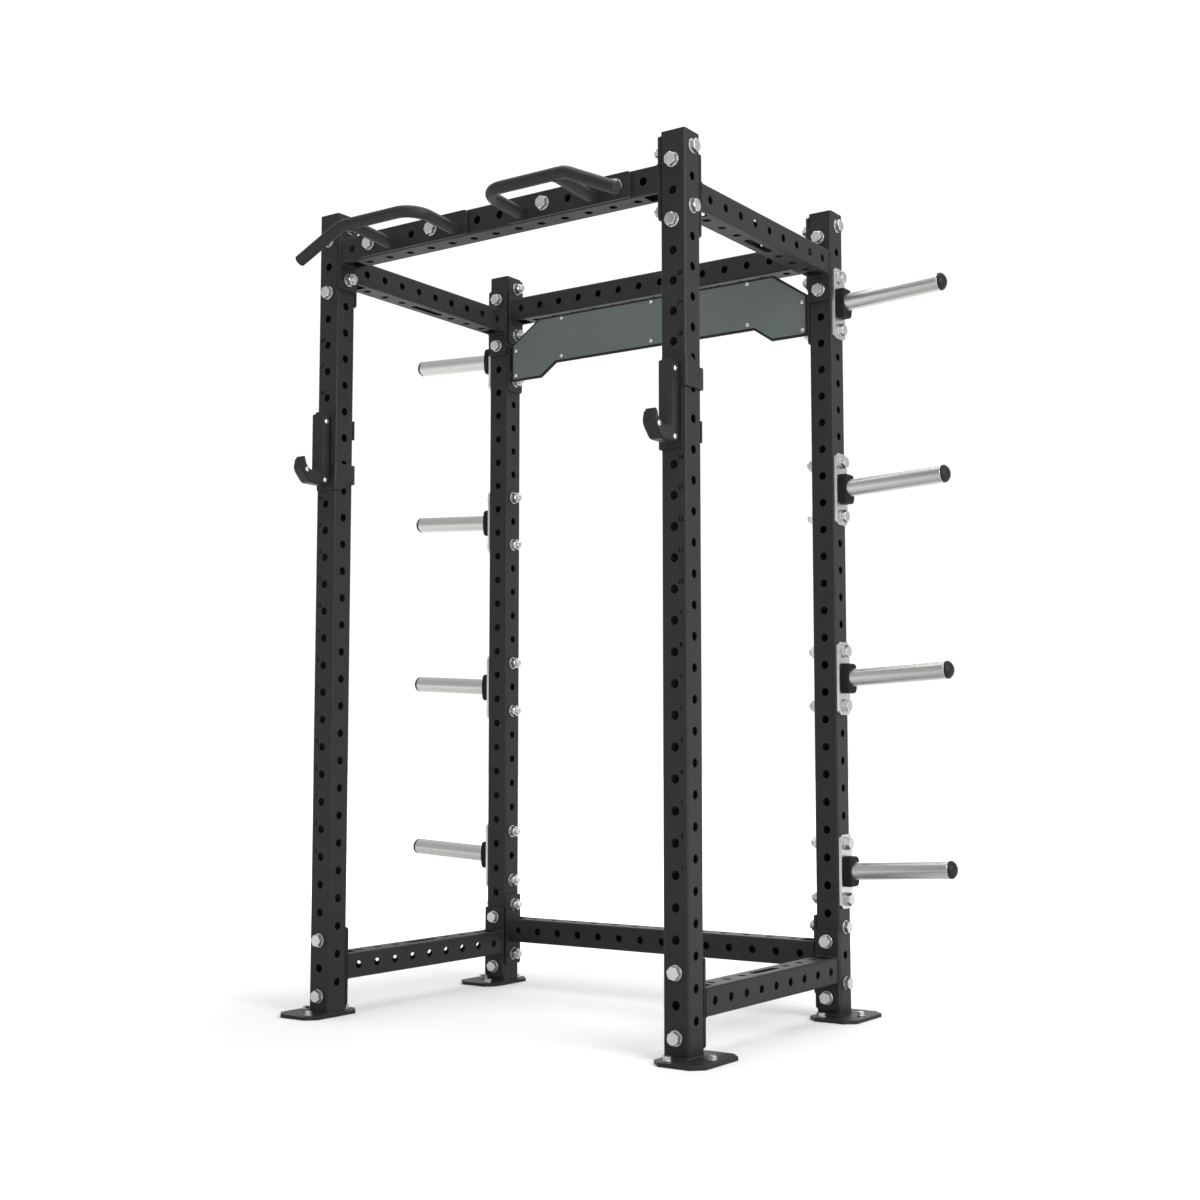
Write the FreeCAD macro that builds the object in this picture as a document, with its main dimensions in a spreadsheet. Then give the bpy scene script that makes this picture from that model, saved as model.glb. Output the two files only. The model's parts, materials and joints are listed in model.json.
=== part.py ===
import FreeCAD, Part
import Sketcher
import math
import os

# Power cage: four square posts joined by bolted beams, with plate-storage pegs at the rear,
# a sign panel, two pull-up grips and two twist-on bar cups. Millimetres, +Z up, floor at Z = 0,
# the front of the cage faces -Y and the origin is below the middle of the overall box.

Vector = FreeCAD.Vector
X_AXIS = Vector(1, 0, 0)
Y_AXIS = Vector(0, 1, 0)
Z_AXIS = Vector(0, 0, 1)

DIMENSIONS = [
    # alias, value, meaning
    ("holepitch", 75, "spacing of the holes along every tube"),
    ("holedia", 22, "diameter of the frame holes"),
    ("holecount", 29, "holes in each face of a post"),
    ("firsthole", 56, "height of the lowest front hole above the floor"),
    ("tubewidth", 70, "outside width of posts and beams"),
    ("tubewall", 3, "wall of posts and beams"),
    ("tubecorner", 6, "outside corner radius of posts and beams"),
    ("postspanx", 1148, "distance between post axes across the cage"),
    ("postspany", 772, "distance between post axes front to rear"),
    ("posttop", 2230, "height of the top of the post tube"),
    ("capthick", 3, "head of the post cap"),
    ("capdepth", 25, "depth of the post cap's plug"),
    ("footlong", 200, "foot plate, front to rear"),
    ("footwide", 142, "foot plate, across"),
    ("footthick", 10, "foot plate thickness"),
    ("footshift", 34, "foot plate centre outside the post axis"),
    ("footchamfer", 28, "foot plate corner chamfer"),
    ("anchordia", 14, "anchor hole"),
    ("anchorlong", 72, "anchor hole distance in front of and behind the post axis"),
    ("anchorout", 78, "anchor hole distance outside the post axis"),
    ("platelong", 212, "beam end plate length"),
    ("platethick", 8, "beam end plate thickness"),
    ("platecorner", 8, "beam end plate corner radius"),
    ("windowlong", 42, "access window in a beam, along the beam"),
    ("windowwide", 46, "access window in a beam, across"),
    ("windowedge", 9, "access window to the end of the beam"),
    ("slotlong", 130, "slot in a side beam"),
    ("boltdia", 20, "frame bolt"),
    ("boltflats", 30, "frame bolt head and nut across flats"),
    ("headthick", 12.5, "frame bolt head"),
    ("nutthick", 16, "frame nut"),
    ("boltend", 8, "bolt thread beyond the nut"),
    ("washerdia", 37, "frame washer"),
    ("washerthick", 3, "frame washer"),
    ("pegplatelong", 200, "peg mounting plate height"),
    ("pegplatewide", 65, "peg mounting plate width"),
    ("pegplatechamfer", 10, "peg mounting plate corner chamfer"),
    ("pegdia", 48.3, "peg tube"),
    ("pegwall", 3, "peg tube wall"),
    ("peglong", 308, "peg, from the post face to the tube end"),
    ("pegtilt", 3, "peg upward tilt in degrees"),
    ("collarhigh", 82, "peg bumper height"),
    ("collarwide", 56, "peg bumper width at its middle"),
    ("collarthick", 25, "peg bumper thickness"),
    ("collarbulge", 5, "peg bumper bulge of each side"),
    ("pegdome", 13, "height of the dome on the peg end cap"),
    ("gripreach", 157, "grip plate face to the grip bar axis"),
    ("gripdia", 32, "grip bar"),
    ("gripwall", 3, "grip bar wall"),
    ("griproot", 112.5, "grip bar root from the middle of the cage"),
    ("gripelbow", 370, "grip bar outer bend from the middle of the cage"),
    ("gripend", 522, "grip bar free end from the middle of the cage"),
    ("gripdrop", 70, "free end below the straight part of the grip bar"),
    ("griprise", 1, "straight part of the grip bar above the beam axis"),
    ("griprootdrop", 12, "grip bar root below the beam axis"),
    ("gripbend", 60, "grip bar bend radius at its axis"),
    ("gripplatelong", 386, "grip mounting plate length"),
    ("gripplatehigh", 66, "grip mounting plate height"),
    ("signwide", 1058, "sign panel width"),
    ("signtopwide", 840, "sign panel width at its top edge"),
    ("signtop", 2078, "sign panel top"),
    ("signshoulder", 2004, "sign panel height where the sides start to slope"),
    ("signbottom", 1887, "sign panel bottom"),
    ("signfootwide", 824, "width between the inner ends of the lower tabs"),
    ("signfootrise", 40, "rise from the lower tabs to the middle of the panel"),
    ("signwaistwide", 708, "width of the panel's raised lower edge"),
    ("signfront", 26.5, "sign face in front of the rear post axis"),
    ("signface", 2.5, "sign face sheet"),
    ("signback", 5, "sign backing plate"),
    ("signborder", 7, "backing plate beyond the face sheet"),
    ("cupspan", 224, "bar cup bracket height"),
    ("cupplate", 6, "bar cup bracket thickness"),
    ("cupwide", 57.2, "bar cup bracket width between the ears"),
    ("cupgap", 0.6, "bar cup bracket to post clearance"),
    ("cupearnear", 37.5, "near edge of an ear from the pin axis"),
    ("cupearrear", 91, "far edge of an ear at its rear, from the pin axis"),
    ("cuplip", 76, "ear lip behind the post"),
    ("cuppindia", 21.9, "bar cup pin"),
    ("cuppinlong", 60, "bar cup pin length behind the bracket"),
    ("linerwide", 29, "bar cup liner width"),
    ("linerfront", 40, "liner face in front of the post"),
    ("linertop", 98, "top of the liner above the pin axis"),
    ("linerfloor", 65, "throat floor below the pin axis"),
    ("linerhook", 96, "inner face of the hook in front of the post"),
    ("linerthroat", 86, "post face to the foot of the hook's inner face"),
    ("linertip", 30, "hook tip below the pin axis"),
    ("linerbase", 101, "underside of the liner below the pin axis"),
    ("cupcheek", 4, "bar cup side plate thickness"),
    ("cheekinset", 3, "side plate behind the edge of the liner"),
    ("cupscrewdia", 8, "bar cup screw"),
    ("signscrewdia", 6, "sign panel screw"),
    ("screwgap", 0.5, "clearance of the screw holes on the diameter"),
    ("pegseat", 35, "peg tube, from the post face to the end of the bumper's seat"),
    ("pegseatdia", 47.3, "peg tube under the bumper"),
    ("griplap", 44.5, "grip plate beyond the middle of the bar's root"),
    ("anchorwasher", 2.5, "washer under an anchor head"),
]

doc = FreeCAD.newDocument("PowerCage")
sheet = doc.addObject("Spreadsheet::Sheet", "Dims")
for row, (alias, number, meaning) in enumerate(DIMENSIONS, start=1):
    sheet.set("A%d" % row, meaning)
    sheet.set("B%d" % row, str(number))
    sheet.setAlias("B%d" % row, alias)
doc.recompute()


def size(text):
    """Value of an expression whose words are aliases of the sheet."""
    return float(sheet.evalExpression(named(text)))


def named(text):
    """Expression with the sheet's name put in front of every alias."""
    words = []
    word = ""
    for letter in str(text) + " ":
        if letter.isalpha():
            word += letter
            continue
        if word:
            words.append(word if word in ("sin", "cos", "tan", "deg") else "Dims." + word)
            word = ""
        words.append(letter)
    return "".join(words).strip()


PITCH = size("holepitch")
POST_X = size("postspanx / 2")
POST_Y = size("postspany / 2")
HALF_TUBE = size("tubewidth / 2")
POST_OUTER_X = POST_X + HALF_TUBE
POST_INNER_X = POST_X - HALF_TUBE
FRONT_FACE_Y = -POST_Y - HALF_TUBE
GRIP_FACE_Y = FRONT_FACE_Y - size("platethick")

# The origin lies below the middle of the overall box, which runs from the front of the grip bars
# to the rear edge of the rear foot plates.
FRONT_REACH = -GRIP_FACE_Y + size("gripreach + gripdia / 2")
REAR_REACH = POST_Y + size("footlong / 2")
CAGE_Y = (FRONT_REACH - REAR_REACH) / 2


def place(x, y, z, rotation=None):
    """Placement of a piece given in the cage's own coordinates."""
    return FreeCAD.Placement(Vector(x, y + CAGE_Y, z), rotation or FreeCAD.Rotation())


def hole_height(index):
    """Height of hole number index of a post, counted from the lowest front hole."""
    return size("firsthole") + index * PITCH


SIDE_TOP_Z = hole_height(27)
SIDE_BOTTOM_Z = hole_height(1)
CROSS_TOP_Z = hole_height(27.5)
CROSS_BOTTOM_Z = hole_height(1.5)
CUP_Z = hole_height(20)
PEG_LEVELS = (4.5, 11.5, 18.5, 25.5)


# ---------------------------------------------------------------- drawing helpers

def bind(item, **expressions):
    """Bind properties of an object to expressions; a double underscore stands for a dot."""
    for key, text in expressions.items():
        item.setExpression(key.replace("__", "."), named(text))


def new_body(label, placement=None):
    body = doc.addObject("PartDesign::Body", label)
    body.Label = label
    if placement:
        body.Placement = placement
    return body


def new_sketch(body, name, role, across="0", up="0", out="0"):
    """Sketch on one of the body's own origin planes, moved within that plane and out of it."""
    sketch = body.newObject("Sketcher::SketchObject", name)
    plane = next(item for item in body.Origin.OriginFeatures if item.Role == role)
    sketch.AttachmentSupport = [(plane, "")]
    sketch.MapMode = "FlatFace"
    for key, text in (("x", across), ("y", up), ("z", out)):
        if text != "0":
            sketch.setExpression("AttachmentOffset.Base." + key, named(text))
    return sketch


def draw_rectangle(sketch, width, height):
    """Rectangle centred on the sketch's origin."""
    half_w = size(width) / 2
    half_h = size(height) / 2
    corners = [(-half_w, -half_h), (half_w, -half_h), (half_w, half_h), (-half_w, half_h)]
    first = sketch.GeometryCount
    for number in range(4):
        start = Vector(*corners[number], 0)
        end = Vector(*corners[(number + 1) % 4], 0)
        sketch.addGeometry(Part.LineSegment(start, end), False)
    for number in range(4):
        line = first + number
        sketch.addConstraint(Sketcher.Constraint("Coincident", line, 2, first + (number + 1) % 4, 1))
        sketch.addConstraint(Sketcher.Constraint("Vertical" if number % 2 else "Horizontal", line))
    sketch.addConstraint(Sketcher.Constraint("Symmetric", first, 1, first + 1, 2, -1, 1))
    for line, kind, text in ((first, "DistanceX", width), (first + 1, "DistanceY", height)):
        index = sketch.addConstraint(Sketcher.Constraint(kind, line, 1, line, 2, size(text)))
        sketch.setExpression("Constraints[%d]" % index, named(text))


def draw_circle(sketch, diameter):
    """Circle centred on the sketch's origin."""
    circle = sketch.addGeometry(Part.Circle(Vector(0, 0, 0), Z_AXIS, size(diameter) / 2), False)
    sketch.addConstraint(Sketcher.Constraint("Coincident", circle, 3, -1, 1))
    index = sketch.addConstraint(Sketcher.Constraint("Diameter", circle, size(diameter)))
    sketch.setExpression("Constraints[%d]" % index, named(diameter))


def draw_slot(sketch, length, width):
    """Round-ended slot along the sketch's X axis, centred on its origin."""
    reach = (size(length) - size(width)) / 2
    radius = size(width) / 2
    right = sketch.addGeometry(Part.ArcOfCircle(
        Part.Circle(Vector(reach, 0, 0), Z_AXIS, radius), -math.pi / 2, math.pi / 2), False)
    left = sketch.addGeometry(Part.ArcOfCircle(
        Part.Circle(Vector(-reach, 0, 0), Z_AXIS, radius), math.pi / 2, 3 * math.pi / 2), False)
    top = sketch.addGeometry(Part.LineSegment(
        Vector(reach, radius, 0), Vector(-reach, radius, 0)), False)
    bottom = sketch.addGeometry(Part.LineSegment(
        Vector(-reach, -radius, 0), Vector(reach, -radius, 0)), False)
    for pair in ((right, 2, top, 1), (top, 2, left, 1), (left, 2, bottom, 1), (bottom, 2, right, 1)):
        sketch.addConstraint(Sketcher.Constraint("Tangent", *pair))
    sketch.addConstraint(Sketcher.Constraint("Symmetric", left, 3, right, 3, -1, 1))
    sketch.addConstraint(Sketcher.Constraint("Horizontal", top))
    radius_index = sketch.addConstraint(Sketcher.Constraint("Radius", right, radius))
    sketch.setExpression("Constraints[%d]" % radius_index, named("(%s) / 2" % width))
    reach_index = sketch.addConstraint(
        Sketcher.Constraint("DistanceX", left, 3, right, 3, 2 * reach))
    sketch.setExpression("Constraints[%d]" % reach_index, named("(%s) - (%s)" % (length, width)))


def draw_outline(sketch, corners):
    """Closed outline of straight lines; every corner is a pair of expressions."""
    points = [Vector(size(across), size(up), 0) for across, up in corners]
    count = len(points)
    for number in range(count):
        sketch.addGeometry(Part.LineSegment(points[number], points[(number + 1) % count]), False)
    for number, (across, up) in enumerate(corners):
        sketch.addConstraint(
            Sketcher.Constraint("Coincident", number, 2, (number + 1) % count, 1))
        for kind, text in (("DistanceX", across), ("DistanceY", up)):
            distance = size(text)
            if distance >= 0:
                link = Sketcher.Constraint(kind, -1, 1, number, 1, distance)
                text = "(%s)" % text
            else:
                link = Sketcher.Constraint(kind, number, 1, -1, 1, -distance)
                text = "-(%s)" % text
            index = sketch.addConstraint(link)
            sketch.setExpression("Constraints[%d]" % index, named(text))


def pad(body, name, sketch, length, midplane=False, reverse=False):
    feature = body.newObject("PartDesign::Pad", name)
    feature.Profile = sketch
    feature.setExpression("Length", named(length))
    feature.Midplane = midplane
    feature.Reversed = reverse
    doc.recompute()
    return feature


def pocket_through(body, name, sketch):
    """Cut a profile right through, both ways from its sketch; refuses a cut that misses."""
    before = body.Shape.Volume
    feature = body.newObject("PartDesign::Pocket", name)
    feature.Profile = sketch
    feature.Type = "ThroughAll"
    feature.Midplane = True
    doc.recompute()
    if feature.Shape.Volume >= before:
        raise ValueError(name + " cuts nothing")
    return feature


def repeat(body, name, feature, sketch, spacing, count, axis="V_Axis"):
    """Repeat a feature along an axis of its sketch and make the pattern the body's tip."""
    pattern = body.newObject("PartDesign::LinearPattern", name)
    pattern.Originals = [feature]
    pattern.Direction = (sketch, [axis])
    pattern.setExpression("Length", named("(%s) * ((%s) - 1)" % (spacing, count)))
    pattern.Occurrences = int(round(size(count)))
    body.Tip = pattern
    doc.recompute()
    return pattern


def edge_names(shape, axis, keep=None):
    """Names of the straight edges parallel to an axis whose middle point keep() accepts."""
    names = []
    for number, edge in enumerate(shape.Edges, start=1):
        if not isinstance(edge.Curve, (Part.Line, Part.LineSegment)):
            continue
        along = edge.Vertexes[-1].Point.sub(edge.Vertexes[0].Point)
        if along.Length == 0 or abs(along.normalize().dot(axis)) < 0.999:
            continue
        if keep is None or keep(edge.CenterOfMass):
            names.append("Edge%d" % number)
    return names


def near(*spots, reach=0.6):
    """Test that a point is near one of some spots, comparing only the coordinates given."""
    def test(point):
        return any(
            all(wanted is None or abs(found - wanted) < reach for found, wanted in zip(point, spot))
            for spot in spots)
    return test


def round_edges(body, name, base, names, radius):
    fillet = body.newObject("PartDesign::Fillet", name)
    fillet.Base = (base, names)
    fillet.setExpression("Radius", named(radius))
    doc.recompute()
    return fillet


def bevel_edges(body, name, base, names, length):
    chamfer = body.newObject("PartDesign::Chamfer", name)
    chamfer.Base = (base, names)
    chamfer.setExpression("Size", named(length))
    doc.recompute()
    return chamfer


def cylinder(name, diameter, length, placement=None):
    item = doc.addObject("Part::Cylinder", name)
    bind(item, Radius="(%s) / 2" % diameter, Height=length)
    if placement:
        item.Placement = placement
    return item


def hexagon(name, flats, length, placement=None):
    item = doc.addObject("Part::Prism", name)
    item.Polygon = 6
    bind(item, Circumradius="(%s) / 2 / cos(30 deg)" % flats, Height=length)
    if placement:
        item.Placement = placement
    return item


def cut(name, base, tool):
    item = doc.addObject("Part::Cut", name)
    item.Base = base
    item.Tool = tool
    return item


def fuse(name, *shapes):
    item = doc.addObject("Part::MultiFuse", name)
    item.Shapes = list(shapes)
    return item


pieces = []


def keep_piece(item, label):
    """Give a finished piece its label and add it to the pieces that are written out."""
    item.Label = label
    pieces.append(item)
    return item


def group(label, copies):
    """One piece made of separate equal solids; copies pairs a master with its placements."""
    doc.recompute()
    solids = []
    for master, placements in copies:
        for placement in placements:
            for solid in master.Shape.Solids:
                copy = solid.copy()
                copy.Placement = placement.multiply(copy.Placement)
                solids.append(copy)
    item = doc.addObject("Part::Feature", label)
    item.Shape = Part.makeCompound(solids)
    return keep_piece(item, label)


def mirrored(source, label):
    """The other hand of a piece, on the other side of the cage's middle plane."""
    item = doc.addObject("Part::Mirroring", label)
    item.Source = source
    item.Base = Vector(0, 0, 0)
    item.Normal = X_AXIS
    return keep_piece(item, label)


# ---------------------------------------------------------------- posts and feet

def make_post(label, x, y):
    """Square tube with a column of holes through each pair of faces."""
    body = new_body(label, place(x, y, size("footthick")))
    section = new_sketch(body, label + "_section", "XY_Plane")
    draw_rectangle(section, "tubewidth", "tubewidth")
    draw_rectangle(section, "tubewidth - 2 * tubewall", "tubewidth - 2 * tubewall")
    tube = pad(body, label + "_tube", section, "posttop - footthick")
    outer = edge_names(tube.Shape, Z_AXIS, lambda point: max(abs(point.x), abs(point.y)) > HALF_TUBE - 1)
    round_edges(body, label + "_corners", tube, outer, "tubecorner")
    columns = (("front", "XZ_Plane", "0"), ("side", "YZ_Plane", "holepitch / 2"))
    for face, role, shift in columns:
        circle = new_sketch(body, "%s_%s_hole" % (label, face), role,
                            up="firsthole - footthick + " + shift)
        draw_circle(circle, "holedia")
        hole = pocket_through(body, "%s_%s_first" % (label, face), circle)
        repeat(body, "%s_%s_holes" % (label, face), hole, circle, "holepitch", "holecount")
    return keep_piece(body, label)


def make_foot(label, x, y, side):
    """Chamfered plate under a post, reaching outwards, with three anchor holes."""
    turn = FreeCAD.Rotation(Z_AXIS, 0 if side > 0 else 180)
    body = new_body(label, place(x, y, 0, turn))
    outline = new_sketch(body, label + "_outline", "XY_Plane", across="footshift")
    draw_rectangle(outline, "footwide", "footlong")
    plate = pad(body, label + "_plate", outline, "footthick")
    bevel_edges(body, label + "_corners", plate, edge_names(plate.Shape, Z_AXIS), "footchamfer")
    for number, (out, along) in enumerate((("0", "anchorlong"), ("0", "-anchorlong"),
                                           ("anchorout", "0"))):
        circle = new_sketch(body, "%s_anchor%d" % (label, number), "XY_Plane",
                            across=out, up=along)
        draw_circle(circle, "anchordia")
        pocket_through(body, "%s_hole%d" % (label, number), circle)
    return keep_piece(body, label)


POSTS = [("front_right", POST_X, -POST_Y), ("front_left", -POST_X, -POST_Y),
         ("rear_right", POST_X, POST_Y), ("rear_left", -POST_X, POST_Y)]

for where, x, y in POSTS:
    make_post("upright_" + where, x, y)
    make_foot("foot_plate_" + where, x, y, x)

cap_body = new_body("cap_master")
cap_head = new_sketch(cap_body, "cap_head", "XY_Plane")
draw_rectangle(cap_head, "tubewidth", "tubewidth")
cap_top = pad(cap_body, "cap_top", cap_head, "capthick")
cap_round = round_edges(cap_body, "cap_round", cap_top, edge_names(cap_top.Shape, Z_AXIS),
                        "tubecorner")
cap_inside = new_sketch(cap_body, "cap_inside", "XY_Plane")
draw_rectangle(cap_inside, "tubewidth - 2 * tubewall - 1", "tubewidth - 2 * tubewall - 1")
cap_plug = pad(cap_body, "cap_plug", cap_inside, "capdepth", reverse=True)
group("upright_caps", [(cap_body, [place(x, y, size("posttop")) for where, x, y in POSTS])])


# ---------------------------------------------------------------- beams

def make_beam(label, placement, length, side_holes, top_holes, slotted):
    """Square tube along its own X axis, with holes in the sides and in the top and bottom,
    and an access window through top and bottom beside each end."""
    body = new_body(label, placement)
    section = new_sketch(body, label + "_section", "YZ_Plane")
    draw_rectangle(section, "tubewidth", "tubewidth")
    draw_rectangle(section, "tubewidth - 2 * tubewall", "tubewidth - 2 * tubewall")
    tube = pad(body, label + "_tube", section, length, midplane=True)
    outer = edge_names(tube.Shape, X_AXIS, lambda point: max(abs(point.y), abs(point.z)) > HALF_TUBE - 1)
    round_edges(body, label + "_corners", tube, outer, "tubecorner")
    rows = [("side", "XZ_Plane", side_holes, "-holepitch * %g" % ((side_holes - 1) / 2))]
    if slotted:
        rows.append(("top", "XY_Plane", top_holes, "-holepitch * %g" % (top_holes + 0.5)))
        rows.append(("far", "XY_Plane", top_holes, "holepitch * 1.5"))
    else:
        rows.append(("top", "XY_Plane", top_holes, "-holepitch * %g" % ((top_holes - 1) / 2)))
    for face, role, count, start in rows:
        circle = new_sketch(body, "%s_%s_hole" % (label, face), role, across=start)
        draw_circle(circle, "holedia")
        hole = pocket_through(body, "%s_%s_first" % (label, face), circle)
        repeat(body, "%s_%s_holes" % (label, face), hole, circle, "holepitch", str(count),
               "H_Axis")
    for number, side in enumerate(("-", "")):
        reach = "%s((%s) / 2 - windowedge - windowlong / 2)" % (side, length)
        window = new_sketch(body, "%s_window%d" % (label, number), "XY_Plane", across=reach)
        draw_rectangle(window, "windowlong", "windowwide")
        pocket_through(body, "%s_opening%d" % (label, number), window)
    if slotted:
        slot = new_sketch(body, label + "_slot", "XY_Plane")
        draw_slot(slot, "slotlong", "holedia")
        pocket_through(body, label + "_slotted", slot)
    return keep_piece(body, label)


CROSS_LENGTH = "postspanx - tubewidth - 2 * platethick"
SIDE_LENGTH = "postspany - tubewidth - 2 * platethick"
CROSS_BEAMS = [("top_front", -POST_Y, CROSS_TOP_Z), ("top_rear", POST_Y, CROSS_TOP_Z),
               ("bottom_rear", POST_Y, CROSS_BOTTOM_Z)]
SIDE_BEAMS = [("top_left", -POST_X, SIDE_TOP_Z), ("top_right", POST_X, SIDE_TOP_Z),
              ("bottom_left", -POST_X, SIDE_BOTTOM_Z), ("bottom_right", POST_X, SIDE_BOTTOM_Z)]
ALONG_Y = FreeCAD.Rotation(Z_AXIS, 90)

# Beam end plate: its own X axis is its normal, it stands on the YZ plane and reaches to -X.
end_body = new_body("end_plate_master")
end_outline = new_sketch(end_body, "end_outline", "YZ_Plane")
draw_rectangle(end_outline, "tubewidth", "platelong")
end_slab = pad(end_body, "end_slab", end_outline, "platethick", reverse=True)
end_round = round_edges(end_body, "end_round", end_slab, edge_names(end_slab.Shape, X_AXIS),
                        "platecorner")
for number, height in enumerate(("holepitch", "-holepitch")):
    end_circle = new_sketch(end_body, "end_circle%d" % number, "YZ_Plane", up=height)
    draw_circle(end_circle, "holedia")
    pocket_through(end_body, "end_hole%d" % number, end_circle)

for where, y, z in CROSS_BEAMS:
    make_beam(where + "_beam", place(0, y, z), CROSS_LENGTH, 14, 13, False)
    spots = [place(side * POST_INNER_X, y, z, FreeCAD.Rotation(Z_AXIS, 90 - 90 * side))
             for side in (1, -1)]
    group(where + "_end_plates", [(end_body, spots)])

for where, x, z in SIDE_BEAMS:
    make_beam(where + "_side_beam", place(x, 0, z, ALONG_Y), SIDE_LENGTH, 9, 3, True)
    spots = [place(x, side * (POST_Y - HALF_TUBE), z, FreeCAD.Rotation(Z_AXIS, 90 * side))
             for side in (1, -1)]
    group(where + "_side_end_plates", [(end_body, spots)])


# ---------------------------------------------------------------- storage pegs

# A peg is drawn at its post face: +X points out of the cage and the origin is the hole centre.
peg_plate = new_body("peg_plate_master")
peg_outline = new_sketch(peg_plate, "peg_outline", "YZ_Plane")
draw_rectangle(peg_outline, "pegplatewide", "pegplatelong")
peg_slab = pad(peg_plate, "peg_slab", peg_outline, "platethick")
bevel_edges(peg_plate, "peg_corners", peg_slab, edge_names(peg_slab.Shape, X_AXIS),
            "pegplatechamfer")
for number, height in enumerate(("holepitch", "-holepitch")):
    peg_circle = new_sketch(peg_plate, "peg_circle%d" % number, "YZ_Plane", up=height)
    draw_circle(peg_circle, "holedia")
    pocket_through(peg_plate, "peg_hole%d" % number, peg_circle)

TILTED = FreeCAD.Rotation(Y_AXIS, 90 - size("pegtilt"))
PEG_ALONG = TILTED.multVec(Z_AXIS)
PEG_END = PEG_ALONG * (size("peglong") / PEG_ALONG.x)

tube_outside = cylinder("tube_outside", "pegdia", "peglong / cos(pegtilt * 1 deg)",
                        FreeCAD.Placement(Vector(), TILTED))
tube_inside = cylinder("tube_inside", "pegdia - 2 * pegwall", "peglong + 20",
                       FreeCAD.Placement(Vector(), TILTED))
tube_bored = cut("tube_bored", tube_outside, tube_inside)
seat_outside = cylinder("seat_outside", "pegdia + 2", "pegseat",
                        FreeCAD.Placement(Vector(), TILTED))
seat_inside = cylinder("seat_inside", "pegseatdia", "pegseat",
                       FreeCAD.Placement(Vector(), TILTED))
peg_seated = cut("peg_seated", tube_bored, cut("peg_seat", seat_outside, seat_inside))
behind_plate = doc.addObject("Part::Box", "behind_plate")
bind(behind_plate, Length="2 * platethick", Width="2 * pegdia", Height="2 * pegdia")
behind_plate.Placement.Base = Vector(-size("platethick"), -size("pegdia"), -size("pegdia"))
peg_tube = cut("peg_tube", peg_seated, behind_plate)

# Rubber bumper: flat top and bottom, sides that bulge a little, rounded front edges.
BUMPER_HALF = size("collarhigh / 2")
BUMPER_BULGE = size("collarwide / 2")
BUMPER_SIDE = BUMPER_BULGE - size("collarbulge")
bumper = new_body("bumper_master")
bumper_sketch = new_sketch(bumper, "bumper_sketch", "YZ_Plane", out="platethick")
bumper_corners = [Vector(-BUMPER_SIDE, BUMPER_HALF, 0), Vector(BUMPER_SIDE, BUMPER_HALF, 0),
                  Vector(BUMPER_SIDE, -BUMPER_HALF, 0), Vector(-BUMPER_SIDE, -BUMPER_HALF, 0)]
bumper_sketch.addGeometry(Part.LineSegment(bumper_corners[0], bumper_corners[1]), False)
bumper_sketch.addGeometry(Part.Arc(
    bumper_corners[1], Vector(BUMPER_BULGE, 0, 0), bumper_corners[2]), False)
bumper_sketch.addGeometry(Part.LineSegment(bumper_corners[2], bumper_corners[3]), False)
bumper_sketch.addGeometry(Part.Arc(
    bumper_corners[3], Vector(-BUMPER_BULGE, 0, 0), bumper_corners[0]), False)
bumper_block = pad(bumper, "bumper_block", bumper_sketch, "collarthick")
bumper_corner = round_edges(bumper, "bumper_corner", bumper_block,
                            edge_names(bumper_block.Shape, X_AXIS), "collarthick * 0.3")
bumper_front = [
    "Edge%d" % number for number, edge in enumerate(bumper_corner.Shape.Edges, start=1)
    if abs(edge.CenterOfMass.x - size("platethick + collarthick")) < 0.1]
bevel_edges(bumper, "bumper_bevel", bumper_corner, bumper_front, "collarthick * 0.22")
bumper_bore = cylinder("bumper_bore", "pegseatdia + 0.4", "peglong",
                       FreeCAD.Placement(Vector(), TILTED))
peg_bumper = cut("peg_bumper", bumper, bumper_bore)

# End cap: a head flush with the tube, a low dome and a plug inside the tube.
dome_height = size("pegdome")
dome_radius = (size("pegdia / 2") ** 2 + dome_height ** 2) / (2 * dome_height)
cap_disc = cylinder("cap_disc", "pegdia - 0.3", "capthick + pegdome")
cap_ball = doc.addObject("Part::Sphere", "cap_ball")
cap_ball.Radius = dome_radius
cap_ball.Placement.Base = Vector(0, 0, size("capthick") + dome_height - dome_radius)
cap_domed = doc.addObject("Part::Common", "cap_domed")
cap_domed.Base = cap_disc
cap_domed.Tool = cap_ball
cap_stem = cylinder("cap_stem", "pegdia - 2 * pegwall - 0.4", "capdepth * 0.6",
                    FreeCAD.Placement(Vector(0, 0, -size("capdepth * 0.6")), FreeCAD.Rotation()))
peg_cap = fuse("peg_cap", cap_domed, cap_stem)

PEG_SPOTS = [place(POST_OUTER_X, POST_Y, hole_height(level)) for level in PEG_LEVELS]
PEG_CAP_SPOTS = [spot.multiply(FreeCAD.Placement(PEG_END, TILTED)) for spot in PEG_SPOTS]
peg_sets = [("peg_plates", peg_plate, PEG_SPOTS), ("peg_tubes", peg_tube, PEG_SPOTS),
            ("peg_bumpers", peg_bumper, PEG_SPOTS), ("peg_end_caps", peg_cap, PEG_CAP_SPOTS)]
for name, master, spots in peg_sets:
    right = group(name + "_right", [(master, spots)])
    mirrored(right, name + "_left")


# ---------------------------------------------------------------- sign panel

SIGN_Y = POST_Y - size("signfront")
# Screws of the panel: distance from the middle and the hole numbers at their heights.
SIGN_COLUMNS = ((0, 26.79, 25.19), (333, 26.79, 25.19), (512, 25.71, 24.65))
SIGN_SCREWS = sorted({(side * x, hole_height(index)) for x, upper, lower in SIGN_COLUMNS
                      for index in (upper, lower) for side in (1, -1)})


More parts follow.
